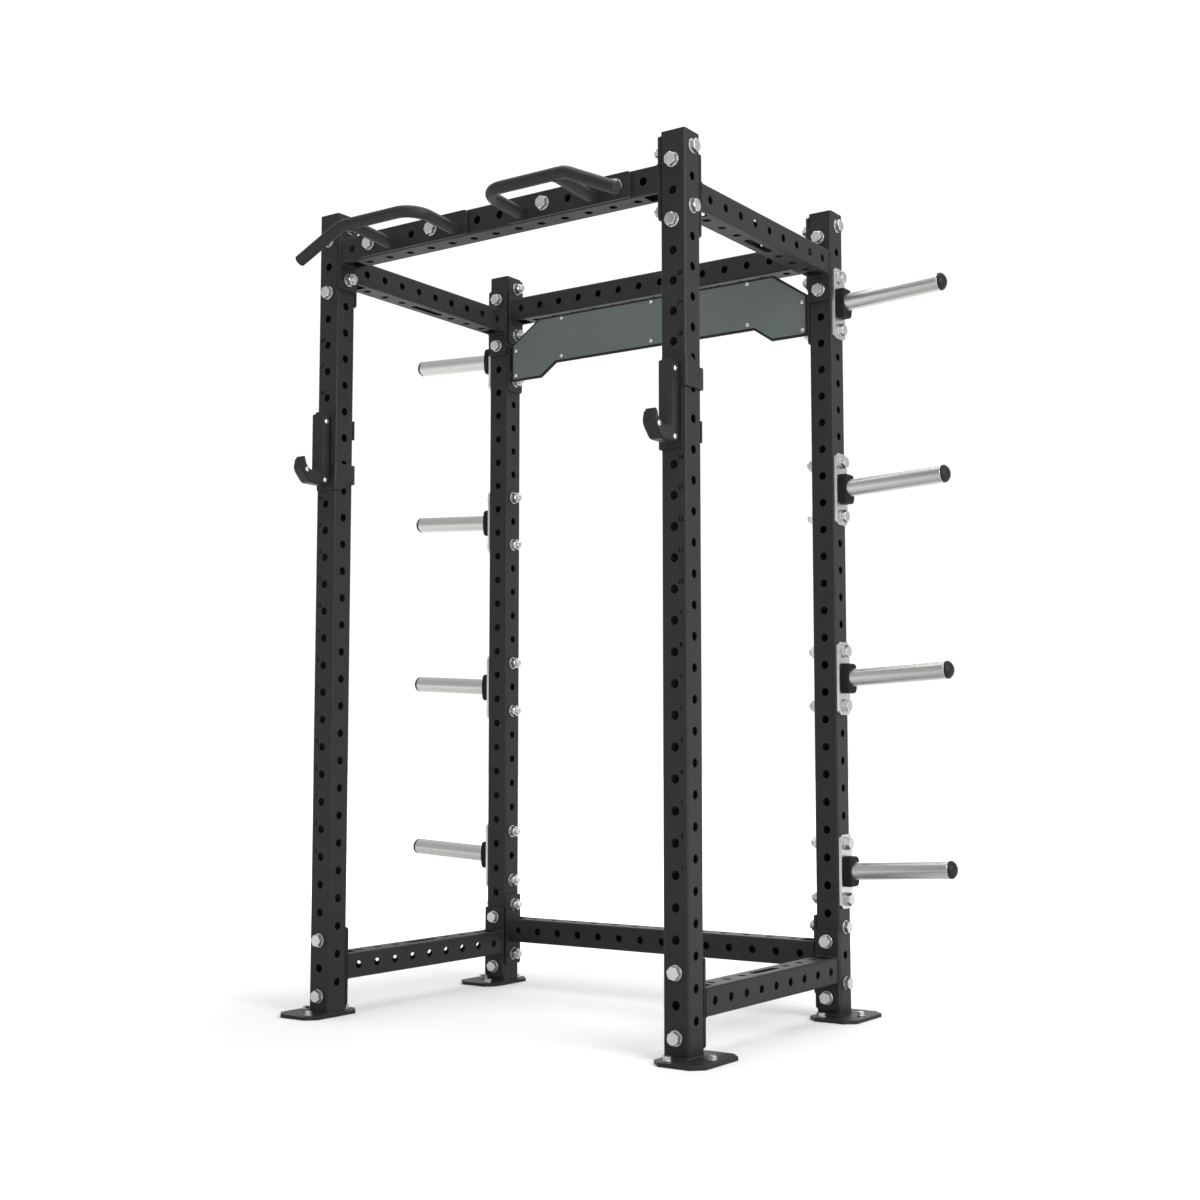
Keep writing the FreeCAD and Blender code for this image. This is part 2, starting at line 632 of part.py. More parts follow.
def drill(body, plane, spots, diameter):
    """Round holes through a body at spots (across, up) of one of its planes."""
    for number, (across, up) in enumerate(spots):
        circle = new_sketch(body, "%s_screw%d" % (body.Label, number), plane,
                            across=str(across), up=str(up))
        draw_circle(circle, diameter)
        pocket_through(body, "%s_drilled%d" % (body.Label, number), circle)


def make_sign(label, inset, y, thickness):
    """Panel with a tab at each lower corner, drawn inside an inset border."""
    body = new_body(label, place(0, y, 0))
    sketch = new_sketch(body, label + "_outline", "XZ_Plane")
    half = [("signtopwide / 2 - %s * 0.4" % inset, "signtop - " + inset),
            ("signwide / 2 - " + inset, "signshoulder - %s * 0.4" % inset),
            ("signwide / 2 - " + inset, "signbottom + " + inset),
            ("signfootwide / 2 + %s * 0.4" % inset, "signbottom + " + inset),
            ("signwaistwide / 2 + %s * 0.4" % inset, "signbottom + signfootrise + " + inset)]
    other = [("-(%s)" % across, up) for across, up in reversed(half)]
    draw_outline(sketch, half + other)
    pad(body, label + "_sheet", sketch, thickness, reverse=True)
    drill(body, "XZ_Plane", SIGN_SCREWS, "signscrewdia + screwgap")
    return keep_piece(body, label)


make_sign("sign_face", "signborder", SIGN_Y, "signface")
make_sign("sign_backing", "0 * signborder", SIGN_Y + size("signface"), "signback")

# Sign bracket: a plate on the post and a flange behind the panel.
SIGN_REAR = SIGN_Y + size("signface + signback")
bracket_plate = doc.addObject("Part::Box", "bracket_plate")
bind(bracket_plate, Length="cupplate", Width="tubewidth", Height="signshoulder - signbottom + 30")
bracket_plate.Placement = place(POST_INNER_X - size("cupplate"), POST_Y - HALF_TUBE,
                                size("signbottom - 28"))
bracket_hole = cylinder("bracket_hole", "holedia", "tubewidth", place(
    POST_INNER_X - HALF_TUBE, POST_Y, hole_height(24.5), FreeCAD.Rotation(Y_AXIS, 90)))
bracket_drilled = cut("bracket_drilled", bracket_plate, bracket_hole)
bracket_flange = doc.addObject("Part::Box", "bracket_flange")
bind(bracket_flange, Length="tubewidth * 0.6", Width="cupplate", Height="signshoulder - signbottom - 35")
bracket_flange.Placement = place(POST_INNER_X - size("tubewidth * 0.6 + cupplate"), SIGN_REAR,
                                 size("signbottom + 34"))
sign_bracket = fuse("sign_bracket", bracket_drilled, bracket_flange)
doc.recompute()
bracket_mirror = sign_bracket.Shape.mirror(Vector(0, 0, 0), X_AXIS)
sign_brackets = doc.addObject("Part::Feature", "sign_brackets")
sign_brackets.Shape = Part.makeCompound([sign_bracket.Shape, bracket_mirror])
keep_piece(sign_brackets, "sign_brackets")


# ---------------------------------------------------------------- pull-up grips

GRIP_Z = CROSS_TOP_Z
grip_plate = new_body("grip_plate_right", place(
    size("griproot - griplap + gripplatelong / 2"), FRONT_FACE_Y, GRIP_Z))
grip_outline = new_sketch(grip_plate, "grip_outline", "XZ_Plane")
draw_rectangle(grip_outline, "gripplatelong", "gripplatehigh")
grip_slab = pad(grip_plate, "grip_slab", grip_outline, "platethick")
round_edges(grip_plate, "grip_round", grip_slab, edge_names(grip_slab.Shape, Y_AXIS),
            "platecorner")
GRIP_BOLTS = (2.5, 5.5)
GRIP_HOLES = GRIP_BOLTS + (3.5,)
for number, index in enumerate(GRIP_HOLES):
    shift = "%g * holepitch - (griproot - griplap + gripplatelong / 2)" % index
    grip_circle = new_sketch(grip_plate, "grip_circle%d" % number, "XZ_Plane", across=shift)
    draw_circle(grip_circle, "holedia")
    pocket_through(grip_plate, "grip_hole%d" % number, grip_circle)
keep_piece(grip_plate, "grip_plate_right")


def bent_tube(corners, bend, radius):
    """Solid round bar along straight runs joined by arcs of the bend radius."""
    edges = []
    start = corners[0]
    for before, corner, after in zip(corners, corners[1:], corners[2:]):
        back = before.sub(corner).normalize()
        ahead = after.sub(corner).normalize()
        half_angle = back.getAngle(ahead) / 2
        trim = bend / math.tan(half_angle)
        middle = back.add(ahead).normalize() * (bend / math.sin(half_angle) - bend)
        arc_start = corner.add(back * trim)
        arc_end = corner.add(ahead * trim)
        edges.append(Part.makeLine(start, arc_start))
        edges.append(Part.Arc(arc_start, corner.add(middle), arc_end).toShape())
        start = arc_end
    edges.append(Part.makeLine(start, corners[-1]))
    path = Part.Wire(edges)
    ring = Part.Wire(Part.makeCircle(radius, corners[0], corners[1].sub(corners[0])))
    return path.makePipeShell([ring], True, True)


BAR_RADIUS = size("gripdia / 2")
BAR_Y = GRIP_FACE_Y - size("gripreach")
BAR_Z = GRIP_Z + size("griprise")
ROOT_Z = GRIP_Z - size("griprootdrop")
grip_corners = [Vector(size("griproot"), GRIP_FACE_Y + CAGE_Y, ROOT_Z),
                Vector(size("griproot"), BAR_Y + CAGE_Y, BAR_Z),
                Vector(size("gripelbow"), BAR_Y + CAGE_Y, BAR_Z),
                Vector(size("gripend"), BAR_Y + CAGE_Y, BAR_Z - size("gripdrop"))]
LEG = grip_corners[1].sub(grip_corners[0]).normalize()
# The tubes are drawn from a little inside the plate and trimmed by a block at its face.
RUN_IN = 10
TRIM = 200
overrun = [grip_corners[0].sub(LEG * RUN_IN)] + grip_corners[1:]
plate_front = Part.makeBox(TRIM, TRIM / 4, TRIM, Vector(
    size("griproot") - TRIM / 2, GRIP_FACE_Y + CAGE_Y, ROOT_Z - TRIM / 2))
bar_outer = bent_tube(overrun, size("gripbend"), BAR_RADIUS)
bar_end = grip_corners[3].sub(grip_corners[2]).normalize() * size("gripwall")
hollow = overrun[:3] + [grip_corners[3].sub(bar_end)]
bar_inner = bent_tube(hollow, size("gripbend"), BAR_RADIUS - size("gripwall"))
grip_bar = doc.addObject("Part::Feature", "grip_bar_right")
grip_bar.Shape = bar_outer.cut(bar_inner).cut(plate_front)
keep_piece(grip_bar, "grip_bar_right")

# Strut from the plate to the straight part of the bar, cut to the bar's round.
STRUT_X = size("4.5 * holepitch")
strut_start = Vector(STRUT_X, GRIP_FACE_Y + CAGE_Y, ROOT_Z).sub(LEG * RUN_IN)
strut_reach = size("gripreach") + RUN_IN
strut_long = Part.makeCylinder(BAR_RADIUS, strut_reach, strut_start, LEG)
strut_bore = Part.makeCylinder(BAR_RADIUS - size("gripwall"), strut_reach, strut_start, LEG)
bar_path = Part.makeCylinder(BAR_RADIUS, TRIM, Vector(
    STRUT_X - TRIM / 2, BAR_Y + CAGE_Y, BAR_Z), X_AXIS)
strut_plate = plate_front.copy()
strut_plate.translate(Vector(STRUT_X - size("griproot"), 0, 0))
grip_strut = doc.addObject("Part::Feature", "grip_strut_right")
grip_strut.Shape = strut_long.cut(strut_bore).cut(bar_outer).cut(bar_path).cut(strut_plate)
keep_piece(grip_strut, "grip_strut_right")

for item, label in ((grip_plate, "grip_plate_left"), (grip_bar, "grip_bar_left"),
                    (grip_strut, "grip_strut_left")):
    mirrored(item, label)


# ---------------------------------------------------------------- twist-on bar cups

# A cup is drawn about its pin: the origin is on the post's front face at the hole centre,
# -Y points out of the cage and the upper ear is on the +X side.
CUP_AT = place(POST_X, FRONT_FACE_Y, CUP_Z)
EAR_IN = "(tubewidth / 2 + cupgap)"
EAR_OUT = "(tubewidth / 2 + cupgap + cupplate)"
PLATE_FRONT = "(cupgap + cupplate)"
# Screws through the liner and its side plates, as (along Y, up) from the pin.
CUP_SCREWS = ((-20, 78), (-22, -87), (-91.5, -66))


def make_ear(body, name, side):
    """Ear on one side of the bracket: web beside the post and lip behind it."""
    sign = "" if side > 0 else "-"
    web = new_sketch(body, name + "_web", "YZ_Plane",
                     out="%s(%s)" % (sign, EAR_IN if side > 0 else EAR_OUT))
    rear = "tubewidth + cupgap + cupplate"
    corners = [("-" + PLATE_FRONT, "cupearnear"), (rear, "cupearnear"), (rear, "cupearrear"),
               ("cupspan / 2 - 60", "cupearrear"), ("20", "cupspan / 2"),
               ("-" + PLATE_FRONT, "cupspan / 2")]
    draw_outline(web, [(along, "%s(%s)" % (sign, up)) for along, up in corners])
    pad(body, name + "_side", web, "cupplate")
    lip = new_sketch(body, name + "_lip", "XZ_Plane", out="-(tubewidth + cupgap)",
                     across="%s(%s - cuplip / 2)" % (sign, EAR_OUT),
                     up="%s(cupearnear + cupearrear) / 2" % sign)
    draw_rectangle(lip, "cuplip", "cupearrear - cupearnear")
    pad(body, name + "_back", lip, "cupplate", reverse=True)
    base = new_sketch(body, name + "_base", "XZ_Plane", out="cupgap",
                      across="%s%s / 2" % (sign, EAR_OUT),
                      up="%s(cupearnear + cupspan / 2) / 2" % sign)
    draw_rectangle(base, EAR_OUT, "cupspan / 2 - cupearnear")
    return pad(body, name + "_tab", base, "cupplate")


def make_bracket():
    body = new_body("jcup_bracket_right", CUP_AT)
    back = new_sketch(body, "cup_back", "XZ_Plane", out="cupgap")
    draw_rectangle(back, "cupwide", "cupspan")
    pad(body, "cup_plate", back, "cupplate")
    make_ear(body, "upper_ear", 1)
    feature = make_ear(body, "lower_ear", -1)
    out = size(EAR_OUT)
    spots = [(side * out, y, None) for side in (1, -1)
             for y in (-size(PLATE_FRONT), size("tubewidth + cupgap + cupplate"))]
    bends = edge_names(feature.Shape, Z_AXIS, near(*spots))
    round_edges(body, "ear_bends", feature, bends, "cupplate * 0.9")
    return keep_piece(body, "jcup_bracket_right")


def make_profile(label, inset, width, start):
    """J-shaped plate of the bar cup in the YZ plane, drawn behind an inset from the liner."""
    body = new_body(label, CUP_AT)
    sketch = new_sketch(body, label + "_outline", "YZ_Plane", out=start)
    front = "-(linerfront - %s)" % inset
    floor = "-(linerfloor + %s)" % inset
    hook = "-(linerhook + %s)" % inset
    throat = "-(linerthroat + %s)" % inset
    outer = "-(linerhook + 16 - %s)" % inset
    base = "-(linerbase - %s)" % inset
    corners = [("-" + PLATE_FRONT, "linertop - %s / 3" % inset),
               ("-" + PLATE_FRONT, base),
               ("-(linerhook - 16 - %s / 2)" % inset, base),
               (outer, floor),
               ("-(linerhook + 5 + %s / 3)" % inset, "-(linertip + %s * 2)" % inset),
               (hook, "-(linertip + %s * 2)" % inset),
               (throat, floor), (front, floor), (front, "linertop - %s / 3" % inset)]
    draw_outline(sketch, corners)
    plate = pad(body, label + "_plate", sketch, width)
    bends = [((front, floor), "12 + " + inset), ((throat, floor), "32"),
             ((outer, floor), "24"), (corners[2], "14")]
    for number, ((along, up), radius) in enumerate(bends):
        spot = (None, size(along), size(up))
        names = edge_names(plate.Shape, X_AXIS, near(spot))
        plate = round_edges(body, "%s_bend%d" % (label, number), plate, names, radius)
    drill(body, "YZ_Plane", CUP_SCREWS, "cupscrewdia + screwgap")
    return body


def make_cup():
    """The pieces of the right-hand bar cup."""
    cup = [make_bracket()]
    liner = make_profile("jcup_liner_right", "0 * cheekinset", "linerwide", "-linerwide / 2")
    cup.append(keep_piece(liner, liner.Label))
    for name, start in (("outer", "linerwide / 2"), ("inner", "-(linerwide / 2 + cupcheek)")):
        label = "jcup_%s_cheek_right" % name
        cheek = make_profile(label, "cheekinset", "cupcheek", start)
        cup.append(keep_piece(cheek, label))
    back = FreeCAD.Rotation(X_AXIS, -90)
    pin = cylinder("jcup_pin_right", "cuppindia", "cuppinlong",
                   CUP_AT.multiply(FreeCAD.Placement(Vector(0, -size("cupgap"), 0), back)))
    cup.append(keep_piece(pin, "jcup_pin_right"))
    return cup


def domed_screw(name, head, shank, reach):
    """Screw along X with an equal low dome at each end, reach from its middle to each head."""
    stem = cylinder(name + "_stem", shank, "2 * (%s)" % reach, FreeCAD.Placement(
        Vector(-size(reach), 0, 0), FreeCAD.Rotation(Y_AXIS, 90)))
    parts = [stem]
    for side in (1, -1):
        dome = doc.addObject("Part::Sphere", "%s_dome%d" % (name, side))
        bind(dome, Radius="(%s) * 0.6" % head)
        dome.Placement.Base = Vector(side * (size(reach) - size(head) * 0.33), 0, 0)
        disc = cylinder("%s_disc%d" % (name, side), head, head, FreeCAD.Placement(
            Vector(side * size(reach), 0, 0), FreeCAD.Rotation(Y_AXIS, 90 * side)))
        button = doc.addObject("Part::Common", "%s_button%d" % (name, side))
        button.Base = dome
        button.Tool = disc
        parts.append(button)
    return fuse(name, *parts)


cup_pieces = make_cup()
cup_screw = domed_screw("cup_screw", "cupscrewdia * 1.75", "cupscrewdia",
                        "linerwide / 2 + cupcheek")
screw_spots = [CUP_AT.multiply(FreeCAD.Placement(Vector(0, along, up), FreeCAD.Rotation()))
               for along, up in CUP_SCREWS]
cup_pieces.append(group("jcup_screws_right", [(cup_screw, screw_spots)]))
for item in cup_pieces:
    mirrored(item, item.Label.replace("_right", "_left"))


# ---------------------------------------------------------------- fasteners

def frame_bolt(name, grip):
    """Hexagon bolt along +X: head outside the origin, nut end beyond the clamped grip."""
    head = hexagon(name + "_head", "boltflats", "headthick", FreeCAD.Placement(
        Vector(-size("headthick + washerthick"), 0, 0), FreeCAD.Rotation(Y_AXIS, 90)))
    shank = cylinder(name + "_shank", "boltdia",
                     "%s + 2 * washerthick + nutthick + boltend" % grip,
                     FreeCAD.Placement(Vector(-size("washerthick"), 0, 0),
                                       FreeCAD.Rotation(Y_AXIS, 90)))
    return fuse(name, head, shank)


def ring(name, outside, inside, length, hexagonal=False):
    """Washer or nut along +X."""
    along_x = FreeCAD.Placement(Vector(), FreeCAD.Rotation(Y_AXIS, 90))
    shape = hexagon if hexagonal else cylinder
    blank = shape(name + "_blank", outside, length, along_x)
    bore = cylinder(name + "_bore", inside, length, along_x)
    return cut(name, blank, bore)


washer = ring("washer_master", "washerdia", "boltdia + 0.6", "washerthick")
nut = ring("nut_master", "boltflats", "boltdia + 0.3", "nutthick", hexagonal=True)
TUBE_AND_PLATE = "(tubewidth + platethick)"
TUBE_AND_TWO = "(tubewidth + 2 * platethick)"
TUBE_PEG_BRACKET = "(tubewidth + platethick + cupplate)"

joints = []


def join(grip, x, y, z, angle):
    """Record one bolted joint: its head face at x, y, z and its direction about Z in degrees."""
    joints.append((grip, place(x, y, z, FreeCAD.Rotation(Z_AXIS, angle))))


for z in (SIDE_TOP_Z, SIDE_BOTTOM_Z):
    for x in (POST_X, -POST_X):
        for step in (PITCH, -PITCH):
            join(TUBE_AND_PLATE, x, FRONT_FACE_Y, z + step, 90)
            join(TUBE_AND_PLATE, x, POST_Y - HALF_TUBE - size("platethick"), z + step, 90)

for side in (1, -1):
    turn = 90 + 90 * side
    for step in (PITCH, -PITCH):
        join(TUBE_AND_PLATE, side * POST_OUTER_X, -POST_Y, CROSS_TOP_Z + step, turn)
        join(TUBE_AND_PLATE, side * POST_OUTER_X, POST_Y, CROSS_BOTTOM_Z + step, turn)
    join(TUBE_AND_PLATE, side * POST_OUTER_X, POST_Y, CROSS_TOP_Z + PITCH, turn)
    outer = side * (POST_OUTER_X + size("platethick"))
    for level in PEG_LEVELS:
        for step in (1, -1):
            index = level + step
            if index == 26.5:
                grip = TUBE_AND_TWO
            elif index == 24.5:
                grip = TUBE_PEG_BRACKET
            else:
                grip = TUBE_AND_PLATE
            join(grip, outer, POST_Y, hole_height(index), turn)

bolt_masters = {}
for number, grip in enumerate((TUBE_AND_PLATE, TUBE_AND_TWO, TUBE_PEG_BRACKET)):
    bolt_masters[grip] = frame_bolt("bolt_master%d" % number, grip)
group("frame_bolts", [(master, [spot for wanted, spot in joints if wanted == grip])
                      for grip, master in bolt_masters.items()])

GRIP_JOINTS = [place(side * index * PITCH, GRIP_FACE_Y, GRIP_Z, FreeCAD.Rotation(Z_AXIS, 90))
               for side in (1, -1) for index in GRIP_BOLTS]
grip_bolt = frame_bolt("grip_bolt_master", TUBE_AND_PLATE)
group("grip_bolts", [(grip_bolt, GRIP_JOINTS)])

head_spots = []
nut_spots = []
for grip, spot in joints + [(TUBE_AND_PLATE, spot) for spot in GRIP_JOINTS]:
    far = size(grip)
    under_head = Vector(-size("washerthick"), 0, 0)
    head_spots.append(spot.multiply(FreeCAD.Placement(under_head, FreeCAD.Rotation())))
    head_spots.append(spot.multiply(FreeCAD.Placement(Vector(far, 0, 0), FreeCAD.Rotation())))
    under_nut = Vector(far + size("washerthick"), 0, 0)
    nut_spots.append(spot.multiply(FreeCAD.Placement(under_nut, FreeCAD.Rotation())))
group("frame_washers", [(washer, head_spots)])
group("frame_nuts", [(nut, nut_spots)])

anchor_head = hexagon("anchor_head", "anchordia + 4", "anchordia * 0.6")
anchor_disc = cylinder("anchor_disc", "anchordia + 10", "anchorwasher", FreeCAD.Placement(
    Vector(0, 0, -size("anchorwasher")), FreeCAD.Rotation()))
anchor_stem = cylinder("anchor_stem", "anchordia - 2", "footthick + 1.5", FreeCAD.Placement(
    Vector(0, 0, -size("footthick + 1.5")), FreeCAD.Rotation()))
anchor = fuse("anchor_master", anchor_head, anchor_disc, anchor_stem)
anchor_spots = []
for where, x, y in POSTS:
    side = 1 if x > 0 else -1
    for out, along in ((0, size("anchorlong")), (0, -size("anchorlong")),
                       (side * size("anchorout"), 0)):
        anchor_spots.append(place(x + out, y + along, size("footthick + anchorwasher")))
group("anchor_bolts", [(anchor, anchor_spots)])

sign_screw = fuse(
    "sign_screw_master",
    cylinder("sign_screw_head", "signscrewdia * 2", "signscrewdia * 0.6"),
    cylinder("sign_screw_stem", "signscrewdia", "signface + signback", FreeCAD.Placement(
        Vector(0, 0, -size("signface + signback")), FreeCAD.Rotation())))
TO_FRONT = FreeCAD.Rotation(X_AXIS, 90)
sign_spots = [place(x, SIGN_Y, z, TO_FRONT) for x, z in SIGN_SCREWS]
group("sign_screws", [(sign_screw, sign_spots)])


# ---------------------------------------------------------------- write the pieces

doc.recompute()
for item in doc.Objects:
    faults = [state for state in item.State if state in ("Invalid", "Error")]
    if faults:
        raise ValueError("%s is %s" % (item.Label, faults))
for item in pieces:
    if item.Shape.isNull() or not item.Shape.isValid() or item.Shape.Volume <= 0:
        raise ValueError(item.Label + " has a bad shape")

os.makedirs("parts", exist_ok=True)
for item in pieces:
    item.Shape.exportStep("parts/%s.step" % item.Label)
print("%d pieces written" % len(pieces))
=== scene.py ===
import json
import math

import bpy
from mathutils import Matrix, Vector
from mathutils.geometry import tessellate_polygon


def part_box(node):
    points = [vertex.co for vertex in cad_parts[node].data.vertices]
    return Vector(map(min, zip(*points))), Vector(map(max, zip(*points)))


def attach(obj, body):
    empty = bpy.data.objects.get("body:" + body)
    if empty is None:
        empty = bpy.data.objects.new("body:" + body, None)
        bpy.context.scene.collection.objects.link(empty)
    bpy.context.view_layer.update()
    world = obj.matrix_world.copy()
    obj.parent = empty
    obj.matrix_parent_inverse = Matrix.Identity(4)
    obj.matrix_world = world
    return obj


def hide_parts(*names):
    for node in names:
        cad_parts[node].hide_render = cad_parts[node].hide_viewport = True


# The looks of a power cage: every steel tube, plate, bolt, peg, grip and bar cup is rebuilt around the
# CAD frame as a finely detailed mesh, with procedural powder coat, zinc, rubber and plastic.

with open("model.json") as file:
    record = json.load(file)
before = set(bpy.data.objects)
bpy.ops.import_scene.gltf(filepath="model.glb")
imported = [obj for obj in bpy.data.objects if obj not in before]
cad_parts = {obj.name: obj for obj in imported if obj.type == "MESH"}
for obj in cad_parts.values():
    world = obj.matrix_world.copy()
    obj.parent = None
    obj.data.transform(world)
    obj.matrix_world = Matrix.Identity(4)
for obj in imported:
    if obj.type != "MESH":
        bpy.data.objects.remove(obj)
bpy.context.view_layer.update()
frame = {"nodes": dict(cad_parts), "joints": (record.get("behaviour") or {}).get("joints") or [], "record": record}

MM = 0.001
X = Vector((1, 0, 0))
Y = Vector((0, 1, 0))
Z = Vector((0, 0, 1))

PITCH = 75 * MM
HOLE = 11 * MM
WALL = 3 * MM
TUBE_CORNER = 6 * MM
EDGE = 0.7 * MM
HOLE_STEPS = 32
SHARP_ANGLE = math.radians(34)


# ---- mesh toolkit

def linked(name, data):
    """New object in the scene."""
    made = bpy.data.objects.new(name, data)
    bpy.context.scene.collection.objects.link(made)
    return made


class Shape:
    """Points and faces of one mesh, gathered as patches that share no points with each other,
    so that every patch is shaded on its own and flat faces stay flat."""

    def __init__(self):
        self.points = []
        self.faces = []

    def patch(self, points, faces, place):
        start = len(self.points)
        self.points.extend(place @ Vector(point) for point in points)
        self.faces.extend([start + index for index in face] for face in faces)

    def rings(self, rings, place, closed=True):
        """Join rings of equal length with quads, as one smooth patch."""
        count = len(rings[0])
        points = [point for ring in rings for point in ring]
        faces = []
        for start in range(0, count * (len(rings) - 1), count):
            for step in range(count if closed else count - 1):
                here, after = start + step, start + (step + 1) % count
                faces.append((here, after, after + count, here + count))
        self.patch(points, faces, place)

    def flat(self, loops, height, place, flip=False):
        """Flat face inside the first loop, with the other loops as holes."""
        solid = [[Vector((across, up, 0)) for across, up in loop] for loop in loops]
        triangles = tessellate_polygon(solid)
        points = [(across, up, height) for loop in loops for across, up in loop]
        wound = []
        for a, b, c in triangles:
            area = ((points[b][0] - points[a][0]) * (points[c][1] - points[a][1])
                    - (points[c][0] - points[a][0]) * (points[b][1] - points[a][1]))
            wound.append((a, b, c) if (area > 0) != flip else (a, c, b))
        self.patch(points, wound, place)

    def lid(self, ring, place, holes=(), flip=False):
        """Close a level ring with a flat face, which may have holes."""
        self.flat([[point[:2] for point in ring], *holes], ring[0][2], place, flip)

    def build(self, name, slot, *replaced, body="frame"):
        """Make the object, put it on its CAD body and let it stand for CAD nodes."""
        mesh = bpy.data.meshes.new(name)
        mesh.from_pydata(self.points, [], self.faces)
        mesh.polygons.foreach_set("use_smooth", [True] * len(mesh.polygons))
        mesh.set_sharp_from_angle(angle=SHARP_ANGLE)
        mesh.validate()
        piece = linked(name, mesh)
        mesh.materials.append(MATERIALS[slot])
        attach(piece, body)
        if replaced:
            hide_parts(*replaced)
        return piece


def at(origin, x=X, y=Y):
    """Matrix whose local axes are x, y and their cross product, with its origin at a point."""
    matrix = Matrix((x, y, x.cross(y))).transposed().to_4x4()
    matrix.translation = Vector(origin)
    return matrix


def facing(origin, direction, spin=0.0):
    """Matrix whose local Z points in a direction, turned about it by an angle."""
    turn = Z.rotation_difference(Vector(direction)).to_matrix().to_4x4()
    return Matrix.Translation(origin) @ turn @ Matrix.Rotation(spin, 4, "Z")


def turn_steps(count):
    """Angles at even steps round a full turn."""
    return [2 * math.pi * step / count for step in range(count)]


def quarter(steps):
    """Sine and cosine at even steps from 0 to 90 degrees."""
    angles = [math.pi / 2 * step / steps for step in range(steps + 1)]
    return [(math.sin(angle), math.cos(angle)) for angle in angles]


def circle(radius, across=0.0, up=0.0, steps=HOLE_STEPS):
    return [(across + radius * math.cos(angle), up + radius * math.sin(angle))
            for angle in turn_steps(steps)]


def rounded(corners, steps=6):
    """Outline through corners (across, up, radius), each one rounded by an arc, anticlockwise."""
    outline = []
    count = len(corners)
    for number, (across, up, radius) in enumerate(corners):
        corner = Vector((across, up))
        if radius <= 0:
            outline.append((across, up))
            continue
        before = (Vector(corners[number - 1][:2]) - corner).normalized()
        after = (Vector(corners[(number + 1) % count][:2]) - corner).normalized()
        half = before.angle(after) / 2
        middle = corner + (before + after).normalized() * (radius / math.sin(half))
        first = corner + before * (radius / math.tan(half)) - middle
        last = corner + after * (radius / math.tan(half)) - middle
        sweep = first.angle_signed(last)
        for step in range(steps + 1):
            turned = first.copy()
            turned.rotate(Matrix.Rotation(-sweep * step / steps, 2))
            outline.append(tuple(middle + turned))
    return outline


def box_outline(width, height, radius=0.0, across=0.0, up=0.0, steps=6):
    return rounded([(across + right * width / 2, up + top * height / 2, radius)
                    for right, top in ((-1, -1), (1, -1), (1, 1), (-1, 1))], steps)


def grown(outline, distance):
    """The outline moved outwards by a distance, or inwards if it is negative."""
    moved = []
    count = len(outline)
    for number in range(count):
        here = Vector(outline[number])
        back = (here - Vector(outline[number - 1])).normalized()
        ahead = (Vector(outline[(number + 1) % count]) - here).normalized()
        normal = Vector((back.y + ahead.y, -back.x - ahead.x)).normalized()
        reach = max(0.3, normal.dot(Vector((ahead.y, -ahead.x))))
        moved.append(tuple(here + normal * (distance / reach)))
    return moved


def lifted(outline, height):
    return [(across, up, height) for across, up in outline]


def plate(shape, outline, holes, thickness, place, edge=EDGE, steps=2):
    """Plate from local Z 0 to its thickness with rounded edges and eased holes."""
    profile = [(edge * (1 - cosine), edge * (1 - sine)) for sine, cosine in quarter(steps)]
    lower = [lifted(grown(outline, -shrink), drop) for shrink, drop in reversed(profile)]
    upper = [lifted(grown(outline, -shrink), thickness - drop) for shrink, drop in profile]
    for rings in (lower, [lower[-1], upper[0]], upper):
        shape.rings(rings, place)
    ease = edge * 0.7
    wide_holes = [grown(hole, ease) for hole in holes]
    for hole, wide in zip(holes, wide_holes):
        levels = [(wide, 0), (hole, ease), (hole, thickness - ease), (wide, thickness)]
        for (first, low), (second, high) in zip(levels, levels[1:]):
            shape.rings([lifted(second, high), lifted(first, low)], place)
    faces = [grown(outline, -edge)] + wide_holes
    shape.flat(faces, thickness, place)
    shape.flat(faces, 0, place, flip=True)


def perforated_tube(shape, length, width, holes, place):
    """Square tube along local Z from 0 to its length, with rounded corners and real wall thickness.
    holes has, for each of the four sides +X, +Y, -X, -Y, the outlines cut in it (across, along)."""
    half = width / 2
    inner = half - WALL
    flat_edge = half - TUBE_CORNER
    corner = [(flat_edge + TUBE_CORNER * cosine, flat_edge + TUBE_CORNER * sine)
              for sine, cosine in quarter(6)]
    for side in range(4):
        turned = place @ Matrix.Rotation(math.pi / 2 * side, 4, "Z")
        outer_face = turned @ at((half, 0, 0), Y, Z)
        wide = [grown(hole, EDGE / 2) for hole in holes[side]]
        inner_face = turned @ at((inner, 0, 0), Y, Z)
        for reach, cuts, face in ((flat_edge, wide, outer_face), (inner, holes[side], inner_face)):
            wall = [(-reach, 0), (reach, 0), (reach, length), (-reach, length)]
            shape.flat([wall] + cuts, 0, face, flip=face is inner_face)
        for hole, rim in zip(holes[side], wide):
            shape.rings([lifted(hole, -EDGE / 2), lifted(rim, 0)], outer_face)
            shape.rings([lifted(hole, -WALL), lifted(hole, -EDGE / 2)], outer_face)
        shape.rings([lifted(corner, 0), lifted(corner, length)], turned, closed=False)
    ends = [box_outline(width, width, TUBE_CORNER), box_outline(2 * inner, 2 * inner)]
    shape.flat(ends, length, place)
    shape.flat(ends, 0, place, flip=True)


def revolve(shape, profile, place, steps=40, sharp=()):
    """Turn a profile (radius, height) about local Z; sharp numbers the points that split it."""
    cuts = [0] + sorted(sharp) + [len(profile) - 1]
    for first, last in zip(cuts, cuts[1:]):
        rings = [lifted(circle(max(radius, 1e-6), steps=steps), height)
                 for radius, height in profile[first:last + 1]]
        shape.rings(rings, place)


